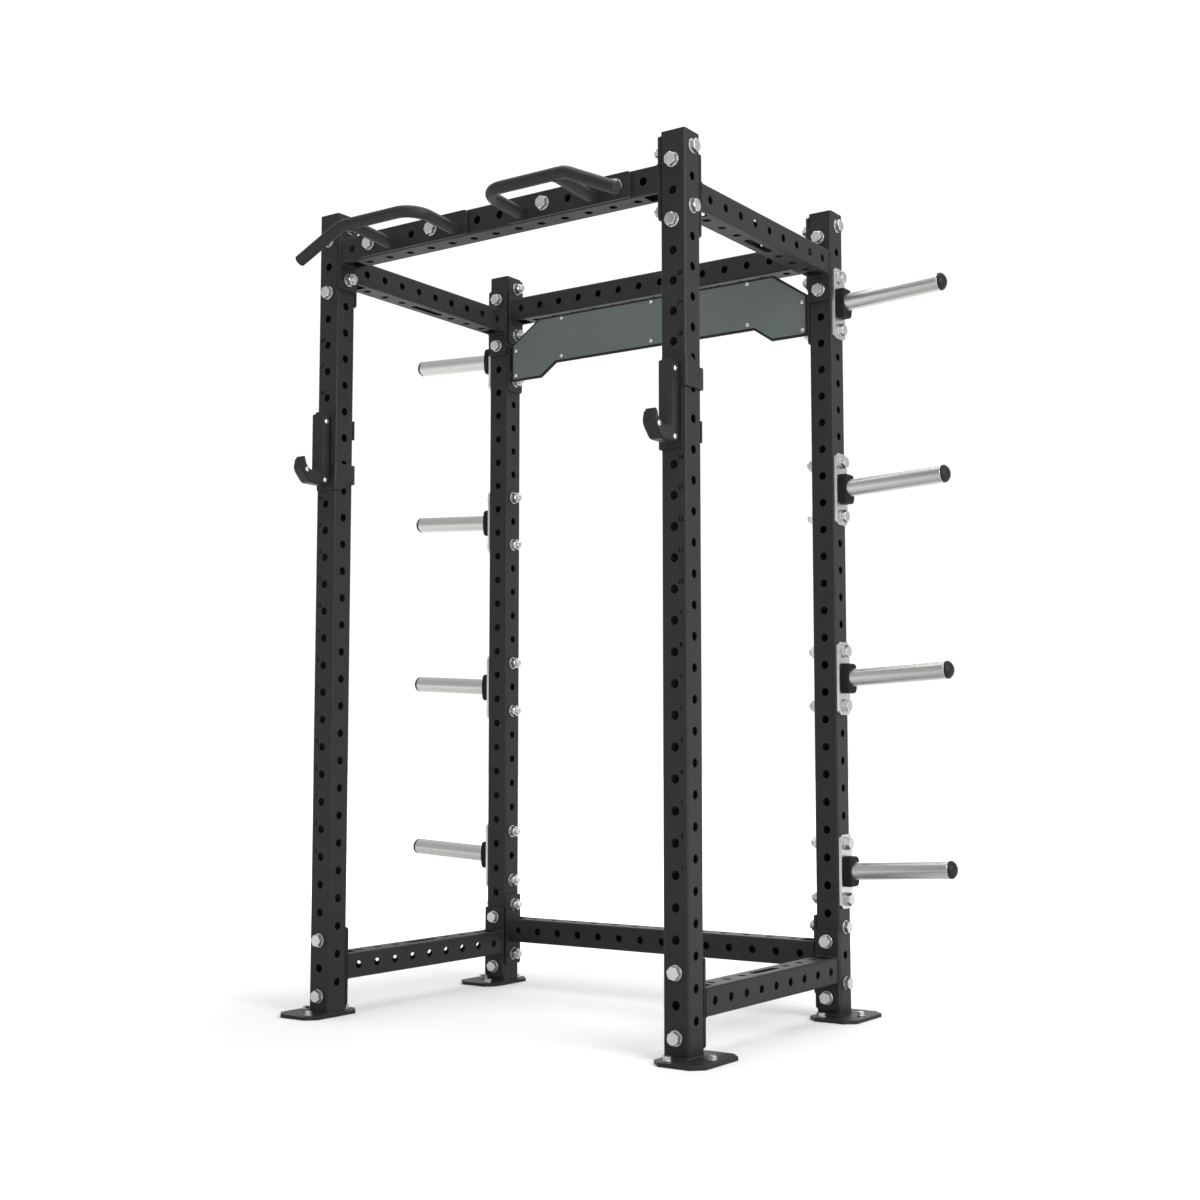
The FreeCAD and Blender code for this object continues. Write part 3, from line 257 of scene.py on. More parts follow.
def directions(path, closed=False):
    """Unit vectors along a path, one at each of its points."""
    last = len(path) - 1
    found = []
    for number in range(last + 1):
        ahead = path[(number + 1) % (last + 1) if closed else min(number + 1, last)]
        behind = path[number - 1 if closed else max(number - 1, 0)]
        found.append((Vector(ahead) - Vector(behind)).normalized())
    return found


def sweep(shape, path, radius_at, steps, place=Matrix(), closed=False):
    """Round section carried along a path of points without twisting; radius_at gives its radius."""
    tangents = directions(path, closed)
    normal = tangents[0].orthogonal().normalized()
    rings = []
    for number, (here, tangent) in enumerate(zip(path, tangents)):
        if number:
            normal.rotate(tangents[number - 1].rotation_difference(tangent))
        side = tangent.cross(normal)
        radius = radius_at(number)
        rings.append([here + normal * (radius * math.cos(angle))
                      + side * (radius * math.sin(angle)) for angle in turn_steps(steps)])
    if closed:
        rings.append(rings[0])
    shape.rings(rings, place)


def evenly(points, spacing):
    """Points at an even spacing along a closed line."""
    loop = points + points[:1]
    lengths = [(b - a).length for a, b in zip(loop, loop[1:])]
    total = sum(lengths)
    count = max(4, round(total / spacing))
    result = []
    reached = 0.0
    number = 0
    for step in range(count):
        wanted = total * step / count
        while number < len(lengths) - 1 and reached + lengths[number] < wanted:
            reached += lengths[number]
            number += 1
        share = (wanted - reached) / max(lengths[number], 1e-9)
        result.append(loop[number].lerp(loop[number + 1], min(max(share, 0), 1)))
    return result


BEAD_RIPPLE = 3.2 * MM


def weld(shape, points, radius=3.2 * MM, place=Matrix()):
    """Weld bead along a closed line, with the ripples of a hand-run seam."""
    path = evenly([Vector(point) for point in points], BEAD_RIPPLE / 3)
    sweep(shape, path, lambda number: radius * (1 + 0.13 * math.sin(2 * math.pi * number / 3 + 0.4)
                                                + 0.05 * math.sin(number * 0.37)), 8, place, True)


# ---- where the CAD pieces are

def islands(node):
    """The separate solids of a CAD node, each as its list of points."""
    mesh = frame["nodes"][node].data
    keys = {}
    merged = [keys.setdefault(tuple(round(value, 5) for value in vertex.co), len(keys))
              for vertex in mesh.vertices]
    parent = list(range(len(keys)))

    def root(index):
        while parent[index] != index:
            parent[index] = parent[parent[index]]
            index = parent[index]
        return index

    for polygon in mesh.polygons:
        first = root(merged[polygon.vertices[0]])
        for index in polygon.vertices[1:]:
            parent[root(merged[index])] = first
    groups = {}
    for key, index in keys.items():
        groups.setdefault(root(index), []).append(Vector(key))
    return list(groups.values())


def with_middle(low, high):
    return low, high, (low + high) / 2


def extent(points):
    """Lowest corner, highest corner and middle of a list of points."""
    return with_middle(*(Vector([pick(point[axis] for point in points) for axis in range(3)])
                         for pick in (min, max)))


def node_box(node):
    """Lowest corner, highest corner and middle of a CAD node."""
    return with_middle(*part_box(node))


def width_of(node):
    low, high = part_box(node)
    return high.x - low.x


def boxes(node):
    """Lowest corner, highest corner and middle of every solid of a node."""
    return [extent(points) for points in islands(node)]


def from_side(low, middle, axis):
    """Matrix at the middle of a box's low X or Y side, with its local Z into the box."""
    if axis == 0:
        return at((low.x, middle.y, middle.z), Y, Z)
    return at((middle.x, low.y, middle.z), -X, Z)


def pointing(axis, side=1):
    """Unit vector along a numbered axis."""
    return Vector([side if number == axis else 0 for number in range(3)])


def slimmest(low, high):
    """Number of the axis along which a box is thinnest."""
    size = high - low
    return min(range(3), key=lambda axis: size[axis])


def bolts_of(node, head_radius):
    """For each bolt of a node: the middle of its head's outer face, the direction in which its
    head points, and its length. head_radius lies between those of the shank and the head."""
    found = []
    for points in islands(node):
        low, high, middle = extent(points)
        size = high - low
        axis = max(range(3), key=lambda number: size[number])
        heads = []
        for point in points:
            offset = point - middle
            offset[axis] = 0
            if offset.length > head_radius:
                heads.append(point[axis])
        side = 1 if sum(heads) / len(heads) > middle[axis] else -1
        top = middle.copy()
        top[axis] = high[axis] if side > 0 else low[axis]
        found.append((top, pointing(axis, side), size[axis]))
    return found


# ---- materials

GRAIN_DEPTH = 0.15 * MM


def fill(node, **values):
    """Set sockets of a node; an underscore stands for a space in a socket's name."""
    for socket, value in values.items():
        node.inputs[socket.replace("_", " ")].default_value = value


def node_material(name):
    material = bpy.data.materials.new(name)
    material.use_nodes = True
    return material, material.node_tree, material.node_tree.nodes["Principled BSDF"]


def coordinates(tree, stretch=(1, 1, 1)):
    source = tree.nodes.new("ShaderNodeTexCoord")
    mapping = tree.nodes.new("ShaderNodeMapping")
    fill(mapping, Scale=stretch)
    tree.links.new(source.outputs["Object"], mapping.inputs["Vector"])
    return mapping.outputs["Vector"]


def noise(tree, vector, scale, detail):
    texture = tree.nodes.new("ShaderNodeTexNoise")
    fill(texture, Scale=scale, Detail=detail, Roughness=0.55)
    tree.links.new(vector, texture.inputs["Vector"])
    return texture.outputs["Fac"]


def spread(tree, value, low, high, start=0.3, end=0.7):
    """Stretch a noise value to a range of numbers."""
    ramp = tree.nodes.new("ShaderNodeMapRange")
    fill(ramp, From_Min=start, From_Max=end, To_Min=low, To_Max=high)
    tree.links.new(value, ramp.inputs["Value"])
    return ramp.outputs["Result"]


def tint(tree, value, dark, light):
    """Colour between two others, chosen by a noise value."""
    ramp = tree.nodes.new("ShaderNodeValToRGB")
    for element, position, colour in zip(ramp.color_ramp.elements, (0.32, 0.68), (dark, light)):
        element.position = position
        element.color = (*colour, 1)
    tree.links.new(value, ramp.inputs["Fac"])
    return ramp.outputs["Color"]


def bump(tree, shader, value, strength):
    node = tree.nodes.new("ShaderNodeBump")
    fill(node, Strength=strength, Distance=GRAIN_DEPTH)
    tree.links.new(value, node.inputs["Height"])
    tree.links.new(node.outputs["Normal"], shader.inputs["Normal"])


def coated(name, dark, light, rough, grain=900, strength=0.25, metallic=0.0, specular=0.5,
           stretch=(1, 1, 1), mottle=18):
    """Surface with a fine grain, cloudy colour and roughness that changes a little over it."""
    material, tree, shader = node_material(name)
    vector = coordinates(tree, stretch)
    clouds = noise(tree, vector, mottle, 4)
    fine = noise(tree, vector, grain, 2)
    tree.links.new(tint(tree, clouds, dark, light), shader.inputs["Base Color"])
    tree.links.new(spread(tree, clouds, *rough), shader.inputs["Roughness"])
    fill(shader, Metallic=metallic, Specular_IOR_Level=specular)
    bump(tree, shader, fine, strength)
    return material


def grey(value):
    return (value, value, value)


MATERIALS = {
    "frame_paint": coated("powder_coat_black", grey(0.0105), grey(0.014), (0.45, 0.55),
                          grain=700, strength=0.3, specular=0.2),
    "cup_paint": coated("powder_coat_cup", grey(0.0105), grey(0.014), (0.42, 0.52),
                        grain=700, strength=0.3, specular=0.2),
    "zinc": coated("bright_zinc", (0.47, 0.47, 0.48), (0.54, 0.54, 0.535), (0.32, 0.4),
                   grain=1500, strength=0.08, metallic=1.0, mottle=60),
    "peg_steel": coated("satin_steel", (0.42, 0.41, 0.4), (0.47, 0.46, 0.45), (0.3, 0.38),
                        grain=420, strength=0.12, metallic=1.0, stretch=(0.05, 1, 1), mottle=30),
    "rubber": coated("black_rubber", grey(0.005), grey(0.009), (0.6, 0.75),
                     grain=500, strength=0.35, specular=0.12),
    "black_plastic": coated("black_plastic", grey(0.008), grey(0.012), (0.42, 0.5),
                            grain=1100, strength=0.2, specular=0.14),
    "liner_plastic": coated("black_polyethylene", grey(0.010), grey(0.015), (0.42, 0.55),
                            grain=260, strength=0.22, stretch=(1, 1, 0.12), specular=0.2),
    "sign_paint": coated("sign_grey_green", (0.066, 0.081, 0.078), (0.075, 0.091, 0.087),
                         (0.45, 0.55), grain=800, strength=0.2, mottle=5, specular=0.3),
    # Near-black and almost unreflecting: painted shade standing for the dark inside of the tube seen through
    # numbers cut in its wall.
    "numeral_cut_painted_shade": coated("numeral_cut_painted_shade", grey(0.003), grey(0.005), (0.7, 0.8), specular=0.02),
}


# ---- posts, beams and feet

POSTS = ("front_left", "front_right", "rear_left", "rear_right")
FIRST_HOLE = 56 * MM
POST_HOLES = 29
PLATE_HOLES = [circle(HOLE, 0, PITCH), circle(HOLE, 0, -PITCH)]
NUMERALS = 20
NUMERAL_ACROSS = 19.5 * MM
NUMERAL_RISE = 11.5 * MM
TEXT_SIZE = 15.5 * MM


def make_posts():
    """Posts with holes all the way up; those of the sides lie halfway between those in front."""
    for where in POSTS:
        node = "upright_" + where
        low, high, middle = node_box(node)
        front, side = ([circle(HOLE, 0, FIRST_HOLE + PITCH * (step + offset) - low.z)
                        for step in range(POST_HOLES)] for offset in (0, 0.5))
        shape = Shape()
        perforated_tube(shape, high.z - low.z, high.x - low.x, [side, front, side, front],
                        at((middle.x, middle.y, low.z)))
        shape.build("post_" + where, "frame_paint", node)


def make_numerals():
    """Hole numbers beside the front holes of the two front posts, as thin near-black text on the face: painted
    shade in place of numbers cut through the wall.
    """
    for side, where in ((-1, "front_left"), (1, "front_right")):
        low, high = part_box("upright_" + where)
        middle = (low.x + high.x) / 2
        texts = []
        for number in range(1, NUMERALS + 1):
            curve = bpy.data.curves.new("numeral", "FONT")
            curve.body = str(number)
            curve.size = TEXT_SIZE
            curve.align_x = "CENTER"
            curve.extrude = 0.1 * MM
            curve.offset = 0.55 * MM
            text = linked("numeral", curve)
            height = FIRST_HOLE + PITCH * (number + 4) + NUMERAL_RISE
            text.matrix_world = at((middle + side * NUMERAL_ACROSS, low.y - 0.05 * MM, height), X, Z)
            texts.append(text)
        bpy.context.view_layer.update()
        graph = bpy.context.evaluated_depsgraph_get()
        shape = Shape()
        for text in texts:
            mesh = bpy.data.meshes.new_from_object(text.evaluated_get(graph))
            shape.patch([vertex.co for vertex in mesh.vertices],
                        [polygon.vertices for polygon in mesh.polygons], text.matrix_world)
            bpy.data.meshes.remove(mesh)
            bpy.data.objects.remove(text)
        # The text slabs get the painted-shade material, in place of real cuts through the post's wall.
        piece = shape.build("hole_numbers_painted_shade_" + where, "frame_paint")
        piece.data.materials[0] = MATERIALS["numeral_cut_painted_shade"]


CROSS_BEAMS = ("top_front", "top_rear", "bottom_rear")
SIDE_BEAMS = ("top_left", "top_right", "bottom_left", "bottom_right")
WINDOW_LONG = 42 * MM
WINDOW_WIDE = 46 * MM
WINDOW_EDGE = 9 * MM
SLOT_LONG = 130 * MM


def beam_windows(length):
    reach = WINDOW_EDGE + WINDOW_LONG / 2
    return [box_outline(WINDOW_WIDE, WINDOW_LONG, 5 * MM, 0, along)
            for along in (reach, length - reach)]


def make_beam(node, name, sideways, side_holes, top_holes):
    """Beam along its longest direction. Sideways ones run front to rear, and have a slot in the
    middle of their top with holes at both ends of it."""
    low, high, middle = node_box(node)
    length = high.y - low.y if sideways else high.x - low.x
    place = from_side(low, middle, 1 if sideways else 0)
    centre = length / 2

    def row(count):
        return [circle(HOLE, 0, centre + PITCH * (step - (count - 1) / 2)) for step in range(count)]

    if sideways:
        tops = [circle(HOLE, 0, centre + end * PITCH * (step + 1.5))
                for step in range(top_holes) for end in (-1, 1)]
        tops.append(box_outline(2 * HOLE, SLOT_LONG, HOLE * 0.999, 0, centre, 8))
    else:
        tops = row(top_holes)
    tops += beam_windows(length)
    sides = row(side_holes)
    shape = Shape()
    perforated_tube(shape, length, high.z - low.z, [sides, tops, sides, tops], place)
    outline = box_outline(high.z - low.z, high.z - low.z, TUBE_CORNER, steps=3)
    for along in (0, length):
        weld(shape, lifted(outline, along), place=place)
    shape.build(name, "frame_paint", node)


def make_end_plates(node, name):
    """The two bolted plates of a beam: tall, with a hole above and below the tube."""
    shape = Shape()
    for low, high, middle in boxes(node):
        size = high - low
        axis = slimmest(low, high)
        outline = box_outline(size[1 - axis], size.z, 8 * MM)
        plate(shape, outline, PLATE_HOLES, size[axis], from_side(low, middle, axis))
    shape.build(name, "frame_paint", node)


def make_beams():
    for where in CROSS_BEAMS:
        make_beam(where + "_beam", "cross_beam_" + where, False, 14, 13)
        make_end_plates(where + "_end_plates", "cross_end_plates_" + where)
    for where in SIDE_BEAMS:
        make_beam(where + "_side_beam", "side_beam_" + where, True, 9, 3)
        make_end_plates(where + "_side_end_plates", "side_end_plates_" + where)


FOOT_CHAMFER = 28 * MM
ANCHOR_HOLE = 7 * MM
CAP_LEVELS = ((0.3, 0), (0, 0.35), (0, 1.5), (0.35, 2.1), (1.2, 2.5), (6, 2.8), (16, 3))
CAP_PLUG = 22 * MM


def chamfered(low, high, cut):
    """Rectangle between two corners with its own corners cut off."""
    return [(low[0] + cut, low[1]), (high[0] - cut, low[1]), (high[0], low[1] + cut),
            (high[0], high[1] - cut), (high[0] - cut, high[1]), (low[0] + cut, high[1]),
            (low[0], high[1] - cut), (low[0], low[1] + cut)]


def make_feet():
    anchors = [middle for low, high, middle in boxes("anchor_bolts")]
    for where in POSTS:
        low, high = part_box("foot_plate_" + where)
        middle = node_box("upright_" + where)[2]
        holes = [circle(ANCHOR_HOLE, spot.x, spot.y) for spot in anchors
                 if low.x < spot.x < high.x and low.y < spot.y < high.y]
        shape = Shape()
        plate(shape, chamfered(low.xy, high.xy, FOOT_CHAMFER), holes, high.z - low.z, Matrix(), 1.2 * MM)
        width = width_of("upright_" + where)
        outline = box_outline(width, width, TUBE_CORNER, middle.x, middle.y, steps=3)
        weld(shape, lifted(outline, high.z), 3.6 * MM)
        shape.build("foot_" + where, "frame_paint", "foot_plate_" + where)


def make_post_caps():
    """Plastic caps with a rounded rim and a slightly crowned top."""
    shape = Shape()
    for low, high, middle in boxes("upright_caps"):
        width = high.x - low.x
        place = at((middle.x, middle.y, high.z - CAP_LEVELS[-1][1] * MM))
        outline = box_outline(width, width, TUBE_CORNER)
        rings = []
        for inset, rise in CAP_LEVELS:
            narrow = width - 2 * inset * MM
            level = grown(outline, -inset * MM) if inset < 5 else box_outline(narrow, narrow, TUBE_CORNER)
            rings.append(lifted(level, rise * MM))
        shape.rings(rings, place)
        shape.lid(rings[-1], place)
        plug = box_outline(width - 2 * WALL - MM, width - 2 * WALL - MM, 2 * MM)
        bottom = lifted(plug, -CAP_PLUG)
        shape.rings([bottom, lifted(plug, 0)], place)
        shape.lid(bottom, place, flip=True)
    shape.build("post_caps", "black_plastic", "upright_caps")


# ---- fasteners

def hex_radius(flats, angle):
    """Distance from the middle of a hexagon to its side, at an angle."""
    return flats / 2 / math.cos((angle + math.pi / 6) % (math.pi / 3) - math.pi / 6)


def hex_ring(flats, height, steps=48, slope=0.0):
    """Ring round a hexagon, dropping away towards its corners as a chamfer does."""
    ring = []
    for angle in turn_steps(steps):
        radius = hex_radius(flats, angle)
        drop = max(0.0, radius - 0.95 * flats / 2) * slope
        ring.append((radius * math.cos(angle), radius * math.sin(angle), height - drop))
    return ring


CHAMFER_SLOPE = math.tan(math.radians(30))
BOLT_FLATS = 30 * MM
BOLT_RADIUS = 10 * MM
HEAD_THICK = 12.5 * MM
THREAD_PITCH = 2.5 * MM
THREAD_LONG = 30 * MM
WASHER_BORE = 10.4 * MM
ANCHOR_FLATS = 18 * MM
ANCHOR_SHANK = 6 * MM
ANCHOR_WASHER = 2.5 * MM
ANCHOR_WASHER_RADIUS = 12 * MM
SOCKET = 0.45


def hex_block(shape, flats, thickness, place, bore=None):
    """Hexagon head from local Z 0 to its thickness; with a bore, a nut chamfered at both ends."""
    face = circle(flats * 0.475, steps=48)
    crown = lifted(face, thickness)
    upper = hex_ring(flats, thickness, slope=CHAMFER_SLOPE)
    lower = hex_ring(flats, 0.0, slope=-CHAMFER_SLOPE if bore else 0.0)
    shape.rings([lower, upper, crown], place)
    shape.rings([lifted(face, 0), lower], place)
    if bore:
        lead = lifted(circle(bore * 1.08, steps=48), thickness)
        shape.rings([crown, lead], place)
        shape.rings([lead, lifted(circle(bore, steps=48), thickness - 1.2 * MM)], place)
    else:
        shape.lid(crown, place)


def thread(shape, radius, start, end, place, steps=24):
    """Threaded end of a bolt from one height to another, with a chamfered tip."""
    rings = []
    depth = THREAD_PITCH * 0.3
    count = max(2, round((end - start) / (THREAD_PITCH / 4)))
    for level in range(count + 1):
        height = start + (end - start) * level / count
        ring = []
        for step, angle in enumerate(turn_steps(steps)):
            phase = (height / THREAD_PITCH - step / steps) % 1
            groove = depth * abs(2 * phase - 1)
            tip = max(0.0, height - (end - 2 * MM)) * 0.8
            reach = radius - max(groove, tip)
            ring.append((reach * math.cos(angle), reach * math.sin(angle), height))
        rings.append(ring)
    shape.rings(rings, place)
    shape.lid(rings[-1], place)


GOLDEN = math.pi * (3 - math.sqrt(5))


def make_bolts(node, name):
    """Hexagon bolts, each with a washer face under its head and a threaded end."""
    shape = Shape()
    face = BOLT_FLATS * 0.475
    for number, (top, direction, length) in enumerate(bolts_of(node, BOLT_RADIUS * 1.2)):
        seat = top - direction * HEAD_THICK
        place = facing(seat, direction, GOLDEN * number)
        hex_block(shape, BOLT_FLATS, HEAD_THICK, place)
        revolve(shape, [(face, -0.01 * MM), (face, 0)], place)
        away = facing(seat, -direction, GOLDEN * number)
        tail = length - HEAD_THICK
        revolve(shape, [(BOLT_RADIUS, 0), (BOLT_RADIUS, tail - THREAD_LONG)], away, 24)
        thread(shape, BOLT_RADIUS, tail - THREAD_LONG, tail, away)
    shape.build(name, "zinc", node)


def make_nuts():
    """Nuts with their chamfered bore facing the inside of the cage, or the rear."""
    shape = Shape()
    for number, (low, high, middle) in enumerate(boxes("frame_nuts")):
        axis = slimmest(low, high)
        direction = Y if axis == 1 else pointing(0, -1 if middle.x > 0 else 1)
        thickness = (high - low)[axis]
        start = middle - direction * (thickness / 2)
        hex_block(shape, BOLT_FLATS, thickness, facing(start, direction, GOLDEN * number * 2), BOLT_RADIUS)
    shape.build("hex_nuts", "zinc", "frame_nuts")


def make_washers():
    """Flat washers with one edge rolled by the punch."""
    shape = Shape()
    for low, high, middle in boxes("frame_washers"):
        axis = slimmest(low, high)
        size = high - low
        radius = max(size) / 2
        thickness = size[axis]
        direction = pointing(axis)
        place = facing(middle - direction * (thickness / 2), direction)
        profile = [(WASHER_BORE, 0), (radius - 0.3 * MM, 0), (radius, 0.3 * MM),
                   (radius, thickness - 0.7 * MM), (radius - 0.25 * MM, thickness - 0.2 * MM),
                   (radius - 0.8 * MM, thickness), (WASHER_BORE, thickness)]
        revolve(shape, profile, place, 40, (1, 2, 3, 5))
        revolve(shape, [(WASHER_BORE, thickness), (WASHER_BORE, 0)], place, 40)
    shape.build("flat_washers", "zinc", "frame_washers")


def make_anchors():
    """Hexagon anchor bolts with flanged washers, one to each hole of the foot plates."""
    shape = Shape()
    plate_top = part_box("foot_plate_front_left")[1].z
    rim, radius, shank = ANCHOR_WASHER, ANCHOR_WASHER_RADIUS, ANCHOR_SHANK
    for number, (low, high, middle) in enumerate(boxes("anchor_bolts")):
        revolve(shape, [(shank + 0.5 * MM, 0), (radius - 0.3 * MM, 0), (radius, 0.3 * MM),
                        (radius, rim - 0.5 * MM), (radius - 0.6 * MM, rim), (shank, rim)],
                at((middle.x, middle.y, plate_top)), 36, (1, 2, 3, 4))
        hex_block(shape, ANCHOR_FLATS, high.z - plate_top - rim,
                  facing((middle.x, middle.y, plate_top + rim), Z, GOLDEN * number))
        revolve(shape, [(1e-6, low.z), (shank, low.z), (shank, plate_top)],
                at((middle.x, middle.y, 0)), 24, (1,))
    shape.build("anchors", "zinc", "anchor_bolts")


def button_head(shape, radius, rise, place):
    """Low dome with a hexagon socket, from local Z 0."""
    rings = [lifted(circle(radius * cosine, steps=36), rise * sine)
             for sine, cosine in quarter(8)[:7]]
    socket = [point[:2] for point in hex_ring(radius * 2 * SOCKET, 0, 36)]
    mouth = lifted(socket, rise * 0.97)
    floor = lifted(socket, rise * 0.3)
    shape.rings(rings + [mouth], place)
    shape.rings([mouth, floor], place)
    shape.lid(floor, place)


# ---- storage pegs

PEG_RADIUS = 24.15 * MM
PEG_POINT = 172 * MM
PEG_TUBE_END = 308 * MM
PEG_CHAMFER = 10 * MM
PEG_PLATE_THICK = 8 * MM
CAP_LIP = 6 * MM
CAP_DOME = 13 * MM
BUMPER_EDGE = 6.5 * MM


def pegs(side):
    """Root, on the post's face, and direction of each peg of one side."""
    found = []
    for mount in frame["record"]["mounts"]:
        if mount["name"].startswith("peg_" + side):
            direction = Vector(mount["axis"]).normalized()
            found.append((Vector(mount["pos_m"]) - direction * PEG_POINT, direction))
    return found


def make_peg_plates(side):
    shape = Shape()
    for low, high, middle in boxes("peg_plates_" + side):
        half = Vector((high.y - low.y, high.z - low.z)) / 2
        outline = rounded([(across, up, 1.5 * MM)
                           for across, up in chamfered(-half, half, PEG_CHAMFER)], 2)
        plate(shape, outline, PLATE_HOLES, high.x - low.x, from_side(low, middle, 0), 0.9 * MM)
    shape.build("peg_mounts_" + side, "zinc", "peg_plates_" + side)


def make_peg_tubes(side):
    """Smooth tubes from the mounting plate outwards, each with a domed plastic cap."""
    tubes = Shape()
    caps = Shape()
    flange = PEG_RADIUS - 0.15 * MM
    rim = flange - 0.7 * MM
    sphere = (flange ** 2 + CAP_DOME ** 2) / (2 * CAP_DOME)
    start_angle = math.asin(rim / sphere)
    for root, direction in pegs(side):
        place = facing(root, direction)
        end = PEG_TUBE_END / abs(direction.x)
        revolve(tubes, [(PEG_RADIUS, PEG_PLATE_THICK + 1.5 * MM), (PEG_RADIUS, end - 0.5 * MM),
                        (PEG_RADIUS - 0.5 * MM, end), (PEG_RADIUS - WALL, end)], place, 72, (1, 2))
        head = end + CAP_LIP
        profile = [(PEG_RADIUS - WALL, end), (flange - 0.4 * MM, end), (flange, end + 0.5 * MM),
                   (flange, head - 0.8 * MM), (rim, head)]
        for level in range(1, 11):
            angle = start_angle * (1 - level / 10)
            profile.append((sphere * math.sin(angle), head + CAP_DOME - sphere * (1 - math.cos(angle))))
        revolve(caps, profile, place, 56, (1, 2))
    tubes.build("peg_tubes_smooth_" + side, "peg_steel", "peg_tubes_" + side)
    caps.build("peg_domed_caps_" + side, "black_plastic", "peg_end_caps_" + side)


def make_bumpers(side):
    """Rubber blocks with bulged sides and rounded edges, pushed over the peg tubes."""
    shape = Shape()
    solids = boxes("peg_bumpers_" + side)
    for root, direction in pegs(side):
        low, high, middle = next(box for box in solids if abs(box[2].z - root.z) < 10 * MM)
        half_wide = (high.y - low.y) / 2
        half_tall = (high.z - low.z) / 2
        sign = 1 if direction.x > 0 else -1
        back, face = (low.x, high.x) if sign > 0 else (high.x, low.x)

        def section(inset):
            return bulged_outline(half_wide - inset * 0.3, half_tall - inset, 5 * MM, 8 * MM)

        place = at((back, middle.y, middle.z), Y * sign, Z)
        thick = abs(face - back)
        rings = [lifted(section(0.8 * MM), 0), lifted(section(0), 0.8 * MM)]
        rings += [lifted(section(BUMPER_EDGE * (1 - cosine)), thick - BUMPER_EDGE + BUMPER_EDGE * sine)
                  for sine, cosine in quarter(6)]
        shape.rings(rings, place)
        rise = (abs(face) - abs(root.x)) * math.tan(math.asin(direction.z))
        mouth = circle(PEG_RADIUS + 0.7 * MM, 0, rise, 56)
        bore = lifted(circle(PEG_RADIUS + 0.1 * MM, 0, rise, 56), thick - 0.6 * MM)
        shape.lid(rings[-1], place, [mouth])
        shape.rings([bore, lifted(mouth, thick)], place)
        shape.rings([lifted(circle(PEG_RADIUS + 0.1 * MM, 0, rise - 1.3 * MM, 56), 0), bore], place)
        shape.lid(rings[0], place, flip=True)
    shape.build("rubber_bumpers_" + side, "rubber", "peg_bumpers_" + side)


def bulged_outline(half_wide, half_tall, bulge, corner):
    """Block outline with flat ends and sides that bulge outwards."""
    flat = half_wide - bulge
    radius = (half_tall ** 2 + bulge ** 2) / (2 * bulge)
    reach = math.asin((half_tall - corner * 0.8) / radius)
    right = []
    for step in range(13):
        angle = -reach + 2 * reach * step / 12
        right.append((half_wide - radius * (1 - math.cos(angle)), radius * math.sin(angle)))
    start = Vector(right[-1])
    stop = Vector((flat - corner, half_tall))
    control = Vector((flat + 0.3 * MM, half_tall))
    top_corner = []
    for step in range(1, 7):
        share = step / 6
        point = start * (1 - share) ** 2 + control * (2 * share * (1 - share)) + stop * share ** 2
        top_corner.append(tuple(point))
    bottom_corner = [(across, -up) for across, up in reversed(top_corner)]
    half = bottom_corner + right + top_corner
    return half + [(-across, -up) for across, up in half]


# ---- sign panel

SIGN_SHOULDER = 2004 * MM
SIGN_TOP_HALF = 420 * MM
SIGN_FOOT_HALF = 412 * MM
SIGN_WAIST_HALF = 354 * MM
SIGN_WAIST_RISE = 40 * MM
BRACKET_THICK = 6 * MM
BRACKET_HOLE = FIRST_HOLE + 24.5 * PITCH
FLANGE_WIDE = 42 * MM
FLANGE_TALL = 82 * MM
FLANGE_MIDDLE = 1962 * MM


def sign_outline(inset, low, high):
    """Wide panel with cut-off top corners and a raised waist, inset a little for the sheet."""
    half = [(SIGN_WAIST_HALF + inset * 0.4, low.z + SIGN_WAIST_RISE),
            (SIGN_FOOT_HALF + inset * 0.4, low.z), (high.x, low.z),
            (high.x, SIGN_SHOULDER - inset * 0.4), (SIGN_TOP_HALF - inset * 0.4, high.z)]
    corners = half + [(-across, up) for across, up in reversed(half)]
    return rounded([(across, up, 3 * MM) for across, up in corners], 3)


def make_sign():
    """Painted sheet on a black backing plate, its screws, and the brackets at both ends."""
    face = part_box("sign_face")[0].y
    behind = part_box("sign_backing")[1].y
    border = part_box("sign_face")[0].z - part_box("sign_backing")[0].z
    for name, node, slot, inset in (("sign_front_sheet", "sign_face", "sign_paint", border),
                                    ("sign_back_plate", "sign_backing", "frame_paint", 0)):
        low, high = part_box(node)
        shape = Shape()
        plate(shape, sign_outline(inset, low, high), [], high.y - low.y,
              at((0, high.y, 0), X, Z), 0.6 * MM)
        shape.build(name, slot, node)

    shape = Shape()
    for number, (low, high, middle) in enumerate(boxes("sign_screws")):
        button_head(shape, (high.z - low.z) / 2, face - low.y,
                    facing((middle.x, face, middle.z), -Y, number))
    shape.build("sign_button_screws", "zinc", "sign_screws")

    shape = Shape()
    for low, high, middle in boxes("sign_brackets"):
        side = 1 if low.x > 0 else -1
        outer = high.x if side > 0 else low.x
        start = outer - BRACKET_THICK if side > 0 else outer
        outline = box_outline(high.y - low.y, high.z - low.z, 10 * MM, 0, (low.z + high.z) / 2)
        plate(shape, outline, [circle(HOLE, 0, BRACKET_HOLE)], BRACKET_THICK,
              at((start, middle.y, 0), Y, Z))
        flange = box_outline(FLANGE_WIDE, FLANGE_TALL, 4 * MM,
                             side * (abs(outer) - BRACKET_THICK - FLANGE_WIDE / 2), FLANGE_MIDDLE)
        plate(shape, flange, [], BRACKET_THICK, at((0, behind + BRACKET_THICK, 0), X, Z))
    shape.build("sign_end_brackets", "frame_paint", "sign_brackets")


# ---- pull-up grips

GRIP_RADIUS = 16 * MM
GRIP_BEND = 60 * MM
GRIP_ROOT = 112.5 * MM
GRIP_STRUT = 337.5 * MM
GRIP_ELBOW = 370 * MM
GRIP_END = 522 * MM
GRIP_ROOT_DROP = 12 * MM
GRIP_END_DROP = 70 * MM


